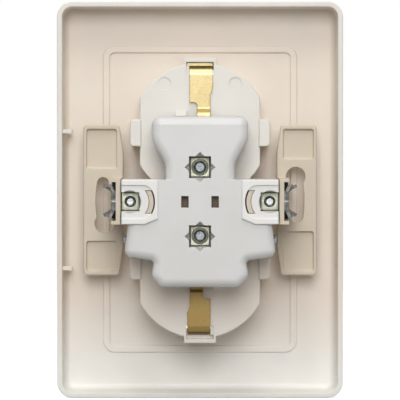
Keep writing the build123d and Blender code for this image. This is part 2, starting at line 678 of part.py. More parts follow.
# Base: the white body of the contact block
with BuildPart() as base:
    outline, outline_radii = block_outline(-SHOULDER_TOP_Z)
    with BuildSketch(at_depth(BASE_BACK)):
        with BuildLine():
            FilletPolyline(*outline, radius=outline_radii, close=True)
        make_face()
    extrude(amount=BASE_DEPTH)
    fillet(base.faces().sort_by(Axis.Y)[-1].edges(), BASE_BACK_R)
    with BuildSketch(at_depth(BASE_BACK)):
        Rectangle(2 * LUG_HALF_SPAN, 2 * LUG_HALF_HEIGHT)
    extrude(amount=BASE_DEPTH)

    # Contact chamber, open to the front
    chamber, chamber_radii = block_outline(-LUG_HALF_HEIGHT)
    with BuildSketch(at_depth(BASE_FLOOR)):
        with BuildLine():
            FilletPolyline(*chamber, radius=chamber_radii, close=True)
        make_face()
        offset(amount=-BASE_WALL)
    extrude(amount=BASE_FLOOR - STRAP_BACK, mode=Mode.SUBTRACT)

    # Inside posts and walls, from the floor of the chamber to its cover
    tower_side = 2 * (STAR_TIP_DEEP + STAR_WALL)
    with BuildSketch(at_depth(BASE_FLOOR + OVERLAP)):
        with Locations((0, COVER_SCREW_Z), (0, -COVER_SCREW_Z)):
            Rectangle(tower_side, tower_side)
    extrude(amount=BASE_FLOOR + OVERLAP - COVER_NUT_FRONT + COVER_NUT_SHELF)
    earth_pocket = EARTH_NUT_SIDE + 2 * NUT_GAP
    with BuildSketch(at_depth(BASE_FLOOR + OVERLAP)):
        with Locations((0, EARTH_TERMINAL_Z - TERMINAL_WALL / 2)):
            Rectangle(earth_pocket + 2 * TERMINAL_WALL, earth_pocket + TERMINAL_WALL)
        with Locations((0, EARTH_TERMINAL_Z)):
            Rectangle(earth_pocket, earth_pocket, mode=Mode.SUBTRACT)
    extrude(amount=BASE_FLOOR + OVERLAP - CHAMBER_COVER_BACK)
    with BuildSketch(at_depth(BASE_FLOOR + OVERLAP)):
        with Locations(*PIN_HOLES):
            Circle(SLEEVE_POST_R)
    extrude(amount=SLEEVE_POST_HEIGHT + OVERLAP)
    with BuildSketch(at_depth(BASE_FLOOR)):
        with Locations(*PIN_HOLES):
            Circle(SLEEVE_OUTER_R + BUSBAR_GAP)
    extrude(amount=BASE_FLOOR - CHAMBER_COVER_BACK, mode=Mode.SUBTRACT)
    nut_slot_outer = SIDE_NUT_INNER + SIDE_NUT_THICK + NUT_GAP
    rib_outer = TAB_INNER - NUT_GAP
    for side in (1, -1):
        with BuildSketch(at_depth(BASE_FLOOR + OVERLAP)):
            with Locations((side * (CLAMP_PLATE_OUTER + TERMINAL_BLOCK_OUTER) / 2, TERMINAL_Z)):
                Rectangle(
                    TERMINAL_BLOCK_OUTER - CLAMP_PLATE_OUTER,
                    SIDE_NUT_SIDE + 2 * NUT_GAP + 2 * TERMINAL_WALL,
                )
            with Locations((side * (rib_outer - TERMINAL_WALL / 2), TERMINAL_Z)):
                Rectangle(TERMINAL_WALL, 2 * (TAB_HALF_WIDTH + TERMINAL_WALL))
        extrude(amount=BASE_FLOOR + OVERLAP - CHAMBER_COVER_BACK)

    # Raised frames on the lugs, with a recess that is rounded at its inner end
    for side in (1, -1):
        with BuildSketch(at_depth(LUG_BACK)):
            with BuildLine():
                Polyline(
                    (side * LUG_INNER, LUG_HALF_HEIGHT),
                    (side * LUG_HALF_SPAN, LUG_HALF_HEIGHT),
                    (side * LUG_HALF_SPAN, -LUG_HALF_HEIGHT),
                    (side * LUG_CHAMFER_X, -LUG_HALF_HEIGHT),
                    (side * LUG_INNER, -LUG_CHAMFER_Z),
                    close=True,
                )
            make_face()
        extrude(amount=LUG_RAISE + OVERLAP)
    fillet(base.faces().filter_by_position(Axis.Y, LUG_BACK - NEAR, LUG_BACK + NEAR).edges(), LUG_EDGE_R)
    for side in (1, -1):
        recess_length = LUG_HALF_SPAN + LUG_RECESS_R - LUG_RECESS_INNER
        with BuildSketch(at_depth(LUG_BACK)):
            with Locations((side * (LUG_RECESS_INNER + recess_length / 2), 0)):
                RectangleRounded(recess_length, 2 * LUG_RECESS_HALF_HEIGHT, LUG_RECESS_R)
        extrude(amount=LUG_RECESS_DEPTH, mode=Mode.SUBTRACT)

    # Shafts for the claw nuts, open at the ends of the lugs, and curved windows for the snap posts
    shaft_inner = CLAW_SCREW_X - CLAW_NUT_SIDE / 2 - NUT_GAP
    for side in (1, -1):
        with BuildSketch(at_depth(LUG_BACK)):
            with Locations((side * (shaft_inner + LUG_HALF_SPAN) / 2, 0)):
                Rectangle(LUG_HALF_SPAN - shaft_inner, CLAW_NUT_SIDE + 2 * NUT_GAP)
        extrude(amount=LUG_BACK - STRAP_BACK, mode=Mode.SUBTRACT)
        with BuildSketch(at_depth(LUG_BACK)):
            with Locations((side * CLAW_SCREW_X, 0)):
                Circle(CLAW_NUT_RECESS_R)
        extrude(amount=LUG_BACK - CLAW_NUT_FRONT - CLAW_NUT_THICK, mode=Mode.SUBTRACT)
        snap_middle = (side * (CLAW_SCREW_X - SNAP_OUTER_R), 0)
        window_height = 2 * (SNAP_HALF_HEIGHT + SNAP_GAP)
        with BuildSketch(at_depth(LUG_BACK)):
            with Locations((side * CLAW_SCREW_X, 0)):
                Circle(SNAP_OUTER_R + SNAP_RELEASE_GAP)
                Circle(SNAP_INNER_R - SNAP_GAP, mode=Mode.SUBTRACT)
            with Locations(snap_middle):
                Rectangle(2 * SNAP_OUTER_R, window_height, mode=Mode.INTERSECT)
        extrude(amount=LUG_BACK - STRAP_BACK, mode=Mode.SUBTRACT)
        hook_depth = SNAP_SUNK + SNAP_HOOK_DEPTH + SNAP_GAP
        with BuildSketch(at_depth(LUG_BACK)):
            with Locations((side * CLAW_SCREW_X, 0)):
                Circle(SNAP_INNER_R)
                Circle(SNAP_INNER_R - SNAP_HOOK - SNAP_GAP, mode=Mode.SUBTRACT)
            with Locations(snap_middle):
                Rectangle(2 * SNAP_OUTER_R, window_height, mode=Mode.INTERSECT)
        extrude(amount=LUG_RECESS_DEPTH + hook_depth, mode=Mode.SUBTRACT)

    # Star-shaped holes: a square shaft for the nut and a diamond with sloping walls
    shaft_taper = (STAR_SQUARE - COVER_NUT_SIDE - 2 * NUT_GAP) / 2
    square_draft = degrees(atan(shaft_taper / (BASE_BACK - COVER_NUT_FRONT)))
    diamond_draft = degrees(atan((STAR_TIP - STAR_TIP_DEEP) / sqrt(2) / STAR_TIP_DEPTH))
    for z in (COVER_SCREW_Z, -COVER_SCREW_Z):
        with BuildSketch(at_depth(BASE_BACK)):
            with Locations((0, z)):
                Rectangle(STAR_SQUARE, STAR_SQUARE)
        extrude(amount=BASE_BACK - COVER_NUT_FRONT, taper=square_draft, mode=Mode.SUBTRACT)
        with BuildSketch(at_depth(BASE_BACK)):
            with Locations((0, z)):
                Rectangle(sqrt(2) * STAR_TIP, sqrt(2) * STAR_TIP, rotation=45)
        extrude(amount=STAR_TIP_DEPTH, taper=diamond_draft, mode=Mode.SUBTRACT)
        with BuildSketch(at_depth(COVER_NUT_FRONT)):
            with Locations((0, z)):
                Circle(COVER_SCREW_R + SHANK_GAP)
        extrude(amount=COVER_NUT_SHELF, mode=Mode.SUBTRACT)

    # Two small windows in the back wall
    with BuildSketch(at_depth(BASE_BACK)):
        with Locations((WINDOW_X, 0), (-WINDOW_X, 0)):
            Rectangle(WINDOW_WIDTH, WINDOW_HEIGHT)
    extrude(amount=BASE_BACK_WALL, mode=Mode.SUBTRACT)

    # Side terminals: nut slots, screw holes, wire entries from below and slits for the busbar links
    nut_slot_back = TERMINAL_Y + SIDE_NUT_SIDE / 2 + NUT_GAP
    for side in (1, -1):
        with BuildSketch(at_depth(nut_slot_back)):
            with Locations((side * (CLAMP_PLATE_OUTER + nut_slot_outer) / 2, TERMINAL_Z)):
                Rectangle(nut_slot_outer - CLAMP_PLATE_OUTER, SIDE_NUT_SIDE + 2 * NUT_GAP)
        extrude(amount=nut_slot_back - STRAP_BACK, mode=Mode.SUBTRACT)
        with BuildSketch(beside(side * SIDE_NUT_INNER)):
            with Locations((TERMINAL_Y, TERMINAL_Z)):
                Circle(SET_SCREW_R + SHANK_GAP)
        extrude(amount=side * (LUG_HALF_SPAN - SIDE_NUT_INNER), mode=Mode.SUBTRACT)
        with BuildSketch(Plane.XY.offset(-WAIST_Z)):
            with Locations((side * WIRE_X, TERMINAL_Y)):
                Circle(WIRE_R + WIRE_GAP)
        extrude(amount=WAIST_Z + TERMINAL_Z, mode=Mode.SUBTRACT)
        link_slit = LINK_FRONT - BUSBAR_GAP
        with BuildSketch(at_depth(BASE_FLOOR)):
            with Locations((side * (rib_outer - TERMINAL_WALL / 2), TERMINAL_Z)):
                Rectangle(TERMINAL_WALL, 2 * (TAB_HALF_WIDTH + BUSBAR_GAP))
        extrude(amount=BASE_FLOOR - link_slit, mode=Mode.SUBTRACT)
        with BuildSketch(at_depth(BASE_FLOOR)):
            with Locations((side * BUSBAR_X, 0)):
                Rectangle(BUSBAR_THICK + 2 * BUSBAR_GAP, 2 * WELL_Z)
        extrude(amount=BASE_FLOOR - BUSBAR_FRONT + BUSBAR_GAP, mode=Mode.SUBTRACT)

    # Earth wire entry in the top, and notches where the earth strip leaves at both ends
    with BuildSketch(Plane.XY.offset(BASE_TOP - 2 * BASE_WALL)):
        with Locations((0, EARTH_WIRE_Y)):
            Circle(WIRE_R + WIRE_GAP)
    extrude(amount=2 * BASE_WALL, mode=Mode.SUBTRACT)
    notch_width = STRIP_NECK_LEFT + STRIP_NECK_RIGHT + 2 * STRIP_NOTCH_GAP
    notch_x = (STRIP_NECK_RIGHT - STRIP_NECK_LEFT) / 2
    with BuildSketch(at_depth(BRIDGE_BACK + CHAMBER_GAP)):
        with Locations((notch_x, BASE_TOP - BASE_WALL), (-notch_x, BASE_WALL - BASE_TOP)):
            Rectangle(notch_width, 3 * BASE_WALL)
    extrude(amount=BRIDGE_BACK + CHAMBER_GAP - STRAP_BACK, mode=Mode.SUBTRACT)
save(base, "base")

# Plate that closes the contact chamber behind the earth strip
with BuildPart() as contact_cover:
    with BuildSketch(at_depth(CHAMBER_COVER_BACK)):
        with BuildLine():
            FilletPolyline(*chamber, radius=chamber_radii, close=True)
        make_face()
        offset(amount=-BASE_WALL - CHAMBER_COVER_FIT)
        with Locations(*PIN_HOLES):
            Circle(CHAMBER_PIN_HOLE_R, mode=Mode.SUBTRACT)
        with Locations((0, COVER_SCREW_Z), (0, -COVER_SCREW_Z)):
            Circle(CHAMBER_SCREW_HOLE_R, mode=Mode.SUBTRACT)
        with Locations((0, EARTH_TERMINAL_Z)):
            Rectangle(EARTH_NUT_SIDE + 2 * NUT_GAP, EARTH_NUT_SIDE + 2 * NUT_GAP, mode=Mode.SUBTRACT)
    extrude(amount=CHAMBER_COVER_THICK)
    with BuildSketch(at_depth(BASE_FLOOR - WINDOW_PAD_GAP)):
        with Locations((WINDOW_X, 0), (-WINDOW_X, 0)):
            Rectangle(WINDOW_WIDTH + 2 * WINDOW_PAD_MARGIN, WINDOW_HEIGHT + 2 * WINDOW_PAD_MARGIN)
    extrude(amount=BASE_FLOOR - WINDOW_PAD_GAP - CHAMBER_COVER_BACK)
save(contact_cover, "contact_cover")

# Busbars: on each side two slotted pin sleeves, the strip that links them and the terminal tab
for name, side in (("phase_busbar", 1), ("neutral_busbar", -1)):
    with BuildPart() as busbar:
        with BuildSketch(at_depth(SLEEVE_BACK)):
            with Locations((side * PIN_X, WELL_Z), (side * PIN_X, -WELL_Z)):
                Circle(SLEEVE_OUTER_R)
                Circle(SLEEVE_BORE_R, mode=Mode.SUBTRACT)
        extrude(amount=SLEEVE_LENGTH)
        with BuildSketch(at_depth(SLEEVE_FRONT + SLEEVE_SLOT_LENGTH)):
            with Locations((side * PIN_X, WELL_Z), (side * PIN_X, -WELL_Z)):
                Rectangle(2 * (SLEEVE_OUTER_R + OVERLAP), SLEEVE_SLOT_WIDTH)
                Rectangle(SLEEVE_SLOT_WIDTH, 2 * (SLEEVE_OUTER_R + OVERLAP))
        extrude(amount=SLEEVE_SLOT_LENGTH, mode=Mode.SUBTRACT)
        with BuildSketch(at_depth(BUSBAR_BACK)):
            with Locations((side * BUSBAR_X, 0)):
                Rectangle(BUSBAR_THICK, 2 * (WELL_Z - SLEEVE_JOIN))
        extrude(amount=BUSBAR_DEPTH)
        with BuildSketch(at_depth(BUSBAR_BACK)):
            with Locations((side * (BUSBAR_X + TAB_OUTER) / 2, TERMINAL_Z)):
                Rectangle(TAB_OUTER - BUSBAR_X, 2 * TAB_HALF_WIDTH)
        extrude(amount=BUSBAR_THICK)
        with BuildSketch(at_depth(BUSBAR_BACK)):
            with Locations((side * (TAB_INNER + TAB_OUTER) / 2, TERMINAL_Z)):
                Rectangle(BUSBAR_THICK, 2 * TAB_HALF_WIDTH)
        extrude(amount=BUSBAR_BACK - TAB_FRONT)
    save(busbar, name)

# Earth bridge: one strip behind both wells, folded into a spring at each end
with BuildPart() as earth_bridge:
    step_start = BASE_TOP + STRIP_STEP_GAP
    half_line = [
        (BRIDGE_Y, step_start),
        (STRIP_OUTER_Y, step_start + STRIP_STEP_RUN),
        (STRIP_OUTER_Y, CLIP_LEG_Z),
        (SPRING_LEG_Y, CLIP_LEG_Z),
    ] + spring_line(WELL_Z, 1)
    bends = [STRIP_BEND_R, STRIP_BEND_R, STRIP_END_BEND_R, SPRING_BEND_R, SPRING_BEND_R]
    with BuildSketch(beside(0)):
        with BuildLine():
            FilletPolyline(
                *([(y, -z) for y, z in reversed(half_line)] + half_line),
                radius=bends[::-1] + bends,
            )
        trace(line_width=STRIP_THICK)
    extrude(amount=STRIP_END_WIDTH, both=True)

    # Seen from behind: wide ends set a little to one side, narrow necks and a body under the block
    neck_middle = (STRIP_BODY_END + STRIP_NECK_END) / 2
    neck_x = (STRIP_NECK_RIGHT - STRIP_NECK_LEFT) / 2
    end_right = STRIP_END_WIDTH / 2 - STRIP_END_OFFSET
    end_left = -STRIP_END_WIDTH / 2 - STRIP_END_OFFSET
    end_outline = [
        (end_right, STRIP_NECK_END),
        (end_right, CLIP_POCKET_Z),
        (end_left, CLIP_POCKET_Z),
        (end_left, STRIP_NECK_END + STRIP_SLANT_END),
        (-STRIP_NECK_LEFT, STRIP_NECK_END + STRIP_SLANT_START),
        (-STRIP_NECK_LEFT, STRIP_NECK_END),
    ]
    with BuildSketch(at_depth(BRIDGE_BACK)) as strip_outline:
        Rectangle(STRIP_BODY_WIDTH, 2 * STRIP_BODY_END)
        for way in (1, -1):
            with Locations((way * neck_x, way * neck_middle)):
                Rectangle(STRIP_NECK_LEFT + STRIP_NECK_RIGHT, STRIP_NECK_END - STRIP_BODY_END)
            with BuildLine():
                Polyline(*[(way * x, way * z) for x, z in end_outline], close=True)
            make_face()
        neck_corners = strip_outline.vertices().filter_by(
            lambda corner: abs(abs(corner.X) - STRIP_NECK_RIGHT) < NEAR
            and abs(abs(corner.Y) - STRIP_NECK_END) < NEAR
        )
        fillet(neck_corners, STRIP_CORNER_R)
        with Locations((0, COVER_SCREW_Z), (0, -COVER_SCREW_Z)):
            Circle(CHAMBER_SCREW_HOLE_R, mode=Mode.SUBTRACT)
        with Locations((0, EARTH_TERMINAL_Z)):
            Circle(EARTH_SCREW_R + SHANK_GAP, mode=Mode.SUBTRACT)
    extrude(amount=BRIDGE_BACK - FRONT, mode=Mode.INTERSECT)

    # The springs are narrower than the ends
    with BuildSketch(at_depth(SPRING_LEG_Y)):
        for edge_side in (1, -1):
            with Locations((edge_side * (SPRING_WIDTH / 2 + STRIP_END_WIDTH / 2), 0)):
                Rectangle(STRIP_END_WIDTH, COVER_HEIGHT)
    extrude(amount=SPRING_START, mode=Mode.SUBTRACT)
save(earth_bridge, "earth_bridge")

# Middle earth clip: a folded U whose springs serve the lower and the upper well
with BuildPart() as middle_earth_clip:
    clip_back = BRIDGE_FRONT - STRIP_THICK / 2
    upper_line = [(clip_back, MIDDLE_LEG_Z), (SPRING_LEG_Y, MIDDLE_LEG_Z)] + spring_line(WELL_Z, -1)
    clip_bends = [STRIP_THICK, SPRING_BEND_R, SPRING_BEND_R]
    with BuildSketch(beside(0)):
        with BuildLine():
            FilletPolyline(
                *([(y, -z) for y, z in reversed(upper_line)] + upper_line),
                radius=clip_bends[::-1] + clip_bends,
            )
        trace(line_width=STRIP_THICK)
    extrude(amount=SPRING_WIDTH / 2, both=True)
save(middle_earth_clip, "middle_earth_clip")

# Cover screws and their square nuts
countersink = COVER_SCREW_HEAD_R - COVER_SCREW_R
cover_screw_front = WELL_BOTTOM + COVER_SCREW_SUNK
cover_screw_profile = [
    (0, cover_screw_front),
    (COVER_SCREW_HEAD_R, cover_screw_front),
    (COVER_SCREW_R, cover_screw_front + countersink),
    (COVER_SCREW_R, COVER_NUT_BACK - COVER_SCREW_SHORT),
    (0, COVER_NUT_BACK - COVER_SCREW_SHORT),
]
for name, z in (("upper", COVER_SCREW_Z), ("lower", -COVER_SCREW_Z)):
    depth_screw(f"{name}_cover_screw", 0, z, cover_screw_profile, COVER_SCREW_HEAD_R)
    square_nut(
        f"{name}_cover_nut",
        at_depth(COVER_NUT_BACK),
        (0, z),
        COVER_NUT_SIDE,
        COVER_NUT_THICK,
        COVER_SCREW_R,
        funnel=NUT_FUNNEL,
    )

# Claws with their screws and nuts, to the right and to the left as seen from the front
claw_nut_back = CLAW_NUT_FRONT + CLAW_NUT_THICK
claw_screw_profile = [
    (0, STRAP_FRONT - CLAW_SCREW_HEAD),
    (CLAW_SCREW_HEAD_R, STRAP_FRONT - CLAW_SCREW_HEAD),
    (CLAW_SCREW_HEAD_R, STRAP_FRONT),
    (CLAW_SCREW_R, STRAP_FRONT),
    (CLAW_SCREW_R, claw_nut_back + CLAW_SCREW_PROUD),
    (0, claw_nut_back + CLAW_SCREW_PROUD),
]
for name, side in (("right", 1), ("left", -1)):
    depth_screw(f"{name}_claw_screw", side * CLAW_SCREW_X, 0, claw_screw_profile, CLAW_SCREW_HEAD_R)
    square_nut(
        f"{name}_claw_nut",
        at_depth(claw_nut_back),
        (side * CLAW_SCREW_X, 0),
        CLAW_NUT_SIDE,
        CLAW_NUT_THICK,
        CLAW_SCREW_R,
        funnel=NUT_FUNNEL,
    )
    with BuildPart() as claw:
        # A fork around the screw, bent into a leg that runs to the front
        leg_x = side * (CLAW_LEG_INNER + CLAW_THICK / 2)
        foot_y = CLAW_FOOT_BACK - CLAW_THICK / 2
        with BuildSketch(Plane.XY):
            with BuildLine():
                FilletPolyline(
                    (side * (CLAW_SCREW_X - CLAW_FORK_REACH), foot_y),
                    (leg_x, foot_y),
                    (leg_x, CLAW_LEG_END),
                    radius=CLAW_BEND_R + CLAW_THICK / 2,
                )
            trace(line_width=CLAW_THICK)
        extrude(amount=CLAW_FORK_HALF_WIDTH, both=True)
        fork_end = CLAW_SCREW_X + CLAW_FORK_SLACK
        fork_start = CLAW_SCREW_X - CLAW_FORK_REACH
        with BuildSketch(at_depth(CLAW_FOOT_BACK)):
            with Locations((side * fork_end, 0)):
                Circle(CLAW_SCREW_R + SHANK_GAP)
            with Locations((side * (fork_start + fork_end) / 2, 0)):
                Rectangle(fork_end - fork_start, 2 * (CLAW_SCREW_R + SHANK_GAP))
        extrude(amount=CLAW_THICK, mode=Mode.SUBTRACT)

        # The leg's wide part, whose two edges flare outwards
        ear_x = leg_x + side * CLAW_EAR_REACH
        ear_z = CLAW_EAR_ROOT + CLAW_EAR_FLARE
        with BuildSketch(at_depth(CLAW_SHOULDER)):
            with BuildLine():
                FilletPolyline(
                    (ear_x, ear_z),
                    (leg_x, CLAW_EAR_ROOT),
                    (leg_x, -CLAW_EAR_ROOT),
                    (ear_x, -ear_z),
                    radius=CLAW_BEND_R + CLAW_THICK / 2,
                )
            trace(line_width=CLAW_THICK)
        extrude(amount=CLAW_SHOULDER - CLAW_LEG_END)

        # Teeth along the flared edges, which bite into the box
        tooth_pitch = (CLAW_SHOULDER - CLAW_LEG_END) / CLAW_TEETH
        clear_x = ear_x + side * CLAW_THICK
        root_x = ear_x - side * CLAW_TOOTH
        teeth = []
        for tooth in range(CLAW_TEETH):
            teeth.append((root_x, CLAW_LEG_END + tooth * tooth_pitch))
            teeth.append((ear_x, CLAW_LEG_END + (tooth + 0.5) * tooth_pitch))
        with BuildSketch(Plane.XY):
            with BuildLine():
                Polyline(
                    (clear_x, CLAW_LEG_END),
                    *teeth,
                    (root_x, CLAW_SHOULDER),
                    (clear_x, CLAW_SHOULDER),
                    close=True,
                )
            make_face()
        extrude(amount=ear_z + CLAW_THICK, both=True, mode=Mode.SUBTRACT)
    save(claw, f"{name}_claw")

# Side terminals: set screw, captive nut and the plate that presses the wire onto the tab
for name, side in (("phase", 1), ("neutral", -1)):
    with BuildPart() as set_screw:
        with BuildSketch(beside(side * CLAMP_PLATE_OUTER)):
            with Locations((TERMINAL_Y, TERMINAL_Z)):
                Circle(SET_SCREW_R)
        extrude(amount=side * (SET_SCREW_END - CLAMP_PLATE_OUTER))
        with BuildSketch(beside(side * (SET_SCREW_END - SLOT_DEPTH))):
            with Locations((TERMINAL_Y, TERMINAL_Z)):
                Rectangle(SLOT_WIDTH, 2 * (SET_SCREW_R + OVERLAP))
        extrude(amount=side * SLOT_DEPTH, mode=Mode.SUBTRACT)
    save(set_screw, f"{name}_terminal_screw")
    nut_start = side * (SIDE_NUT_INNER + SIDE_NUT_THICK / 2) - SIDE_NUT_THICK / 2
    square_nut(
        f"{name}_terminal_nut",
        beside(nut_start),
        (TERMINAL_Y, TERMINAL_Z),
        SIDE_NUT_SIDE,
        SIDE_NUT_THICK,
        SET_SCREW_R,
    )
    with BuildPart() as clamp_plate:
        with BuildSketch(beside(side * CLAMP_PLATE_INNER)):
            with Locations((TERMINAL_Y, TERMINAL_Z)):
                Rectangle(CLAMP_PLATE_SIDE, CLAMP_PLATE_SIDE)
        extrude(amount=side * CLAMP_PLATE_THICK)
        fillet(clamp_plate.edges().filter_by(Axis.X), NUT_CHAMFER)
    save(clamp_plate, f"{name}_clamp_plate")

# Earth terminal: a screw through the bridge that draws a square nut onto the wire
earth_nut_back = EARTH_NUT_FRONT + EARTH_NUT_THICK
earth_screw_profile = [
    (0, BRIDGE_FRONT - EARTH_SCREW_HEAD),
    (EARTH_SCREW_HEAD_R, BRIDGE_FRONT - EARTH_SCREW_HEAD),
    (EARTH_SCREW_HEAD_R, BRIDGE_FRONT),
    (EARTH_SCREW_R, BRIDGE_FRONT),
    (EARTH_SCREW_R, earth_nut_back + EARTH_SCREW_PROUD),
    (0, earth_nut_back + EARTH_SCREW_PROUD),
]
depth_screw("earth_terminal_screw", 0, EARTH_TERMINAL_Z, earth_screw_profile, EARTH_SCREW_HEAD_R)
square_nut(
    "earth_clamp_nut",
    at_depth(earth_nut_back),
    (0, EARTH_TERMINAL_Z),
    EARTH_NUT_SIDE,
    EARTH_NUT_THICK,
    EARTH_SCREW_R,
)
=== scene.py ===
import json
from math import cos, pi, radians, sin

import bmesh
import bpy
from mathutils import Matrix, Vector


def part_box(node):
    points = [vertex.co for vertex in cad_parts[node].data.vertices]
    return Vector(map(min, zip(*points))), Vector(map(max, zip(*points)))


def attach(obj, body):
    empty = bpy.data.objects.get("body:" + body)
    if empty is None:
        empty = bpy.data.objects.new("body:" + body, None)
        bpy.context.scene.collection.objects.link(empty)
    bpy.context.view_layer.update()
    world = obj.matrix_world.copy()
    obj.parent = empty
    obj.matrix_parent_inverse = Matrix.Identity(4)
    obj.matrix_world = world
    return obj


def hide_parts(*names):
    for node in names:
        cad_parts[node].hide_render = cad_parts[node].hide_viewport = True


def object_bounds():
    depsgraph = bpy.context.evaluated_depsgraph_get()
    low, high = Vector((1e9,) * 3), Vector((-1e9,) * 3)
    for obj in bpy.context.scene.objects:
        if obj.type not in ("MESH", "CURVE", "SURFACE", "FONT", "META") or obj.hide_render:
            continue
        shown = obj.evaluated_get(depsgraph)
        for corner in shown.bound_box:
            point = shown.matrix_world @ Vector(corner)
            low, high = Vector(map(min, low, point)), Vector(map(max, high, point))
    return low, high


# Double wall socket seen from behind. Lengths are in metres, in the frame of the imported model.
MM = 0.001

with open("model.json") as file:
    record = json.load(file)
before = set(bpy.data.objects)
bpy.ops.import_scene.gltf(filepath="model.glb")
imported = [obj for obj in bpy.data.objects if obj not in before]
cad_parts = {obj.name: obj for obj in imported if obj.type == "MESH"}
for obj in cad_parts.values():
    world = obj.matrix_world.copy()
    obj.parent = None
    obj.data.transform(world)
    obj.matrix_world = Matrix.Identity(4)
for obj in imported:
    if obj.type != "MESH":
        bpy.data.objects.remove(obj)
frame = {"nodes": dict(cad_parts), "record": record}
nodes = frame["nodes"]
cad_low, cad_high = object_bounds()

# Camera: the photograph's view of the back, and how much of the wall plane its picture spans
CAMERA_DISTANCE = 0.85
CAMERA_ELEVATION = radians(1.2)
CAMERA_SENSOR = 36
CAMERA_CLIP_START = 0.01
PICTURE_SIDE = 400 * 0.3077 * MM

# Screws: how the threads are cut and how finely they are drawn
THREAD_DEPTH = 0.28 * MM
THREAD_PITCH = 0.5 * MM
THREAD_ROUNDING = 0.8
THREAD_ROWS = 8
THREAD_SEGMENTS = 56
TIP_CHAMFER = 0.55 * MM
HEAD_EDGE = 0.3 * MM
SLOT_WIDTH = 0.8 * MM
SLOT_DEPTH = 0.9 * MM
COVER_CREST = 1.75 * MM
CLAW_CREST = 1.5 * MM
EARTH_CREST = 1.5 * MM
SET_CREST = 1.46 * MM
COVER_HEAD_R = 3.3 * MM
COVER_HEAD_FACE = 0.2 * MM
COVER_HEAD_EASE = 0.06 * MM
COVER_HEAD_STEP = 0.08 * MM
COVER_HEAD_LAND = 0.2 * MM
ROUND_HEAD_R = 2.7 * MM
CLAW_HEAD = 2.0 * MM
EARTH_HEAD = 1.9 * MM
SHARP_ANGLE = radians(32)

# Claws: a forked strip bent down beside the web, with flared and toothed edges
CLAW_THICK = 1.0 * MM
CLAW_HALF_WIDTH = 2.7 * MM
CLAW_LEG_TOP = 26.1 * MM
CLAW_LEG_LOW = 26.8 * MM
CLAW_BEND_R = 1.0 * MM
CLAW_BEND_STEPS = 8
CLAW_FORK_R = 1.65 * MM
CLAW_FORK_SLACK = 0.3 * MM
CLAW_SHOULDER_DROP = 4.0 * MM
CLAW_TEETH = 6
EAR_THICK = 0.9 * MM
EAR_ROOT = 2.5 * MM
EAR_COLUMNS = 7
EAR_OPENING = 3
EAR_BITE = 0.2
EAR_CURL = 1.5
EAR_TOP_REACH = 1.3 * MM
EAR_TOP_RIM = 5.0 * MM
EAR_REACH = 2.7 * MM
EAR_RIM = 4.5 * MM
RIB_HALF_WIDTH = 0.24 * MM
RIB_RISE = 0.12 * MM
RIB_LENGTH = 2.2 * MM

# Claw nuts, and the dark sheets under the claws, which are painted shade in the channel
NUT_EDGE = 0.3 * MM
NUT_BORE_R = 1.54 * MM
NUT_MOUTH = 0.2 * MM
SHEET_THICK = 0.1 * MM
SHEET_INNER = 25.2 * MM
SHEET_OUTER = 27.1 * MM
SHEET_START = 2.7 * MM
SHEET_END = 5.8 * MM

# Small fixed blocks, each a name, two opposite corners in millimetres and a slot: webs of the cover
# beside the folded ends of the earth strip, and the strip's tail in the upper pocket
WELL_BACK = 8.5
SMALL_BLOCKS = (
    (
        "upper_slot_web",
        (3.25, WELL_BACK - 1.2, 38.1),
        (4.15, WELL_BACK - 0.5, 41.0),
        "ivory_plastic",
    ),
    (
        "lower_slot_web",
        (-4.15, WELL_BACK - 1.2, -41.0),
        (-3.25, WELL_BACK - 0.5, -38.1),
        "ivory_plastic",
    ),
    (
        "upper_strip_tail",
        (-3.9, WELL_BACK - 2.45, 41.0),
        (4.1, WELL_BACK - 1.6, 42.1),
        "earth_brass",
    ),
)

# Stage: a pale floor, a soft warm ambient light, and lamps by name, place, side and power
FLOOR_HALF = 0.6
FLOOR_GAP = 0.2 * MM
FLOOR_COLOUR = (150, 150, 149)
FLOOR_GLOW = 0.85
AMBIENT = 0.26
AMBIENT_COLOUR = (1.0, 0.94, 0.88, 1)
LAMPS = (
    ("key", (0.0, 1.50, 0.62), 0.85, 14.6),
    ("overhead", (0.0, 0.80, 1.80), 1.1, 14.0),
    ("front_key", (0.45, -1.45, 0.80), 0.85, 15.5),
)


def linear(red, green, blue):
    """An sRGB colour, 0 to 255, as the linear colour that shaders take."""
    def channel(value):
        value /= 255
        return value / 12.92 if value <= 0.04045 else ((value + 0.055) / 1.055) ** 2.4
    return (channel(red), channel(green), channel(blue), 1)


def scaled(colour, factor):
    """A linear colour made lighter or darker."""
    return tuple(min(channel * factor, 1) for channel in colour[:3]) + (1,)


# Likeness of the rounded and the plain normal at which a cut edge starts to show, and is full
EDGE_STARTS = 0.985
EDGE_FULL = 0.88


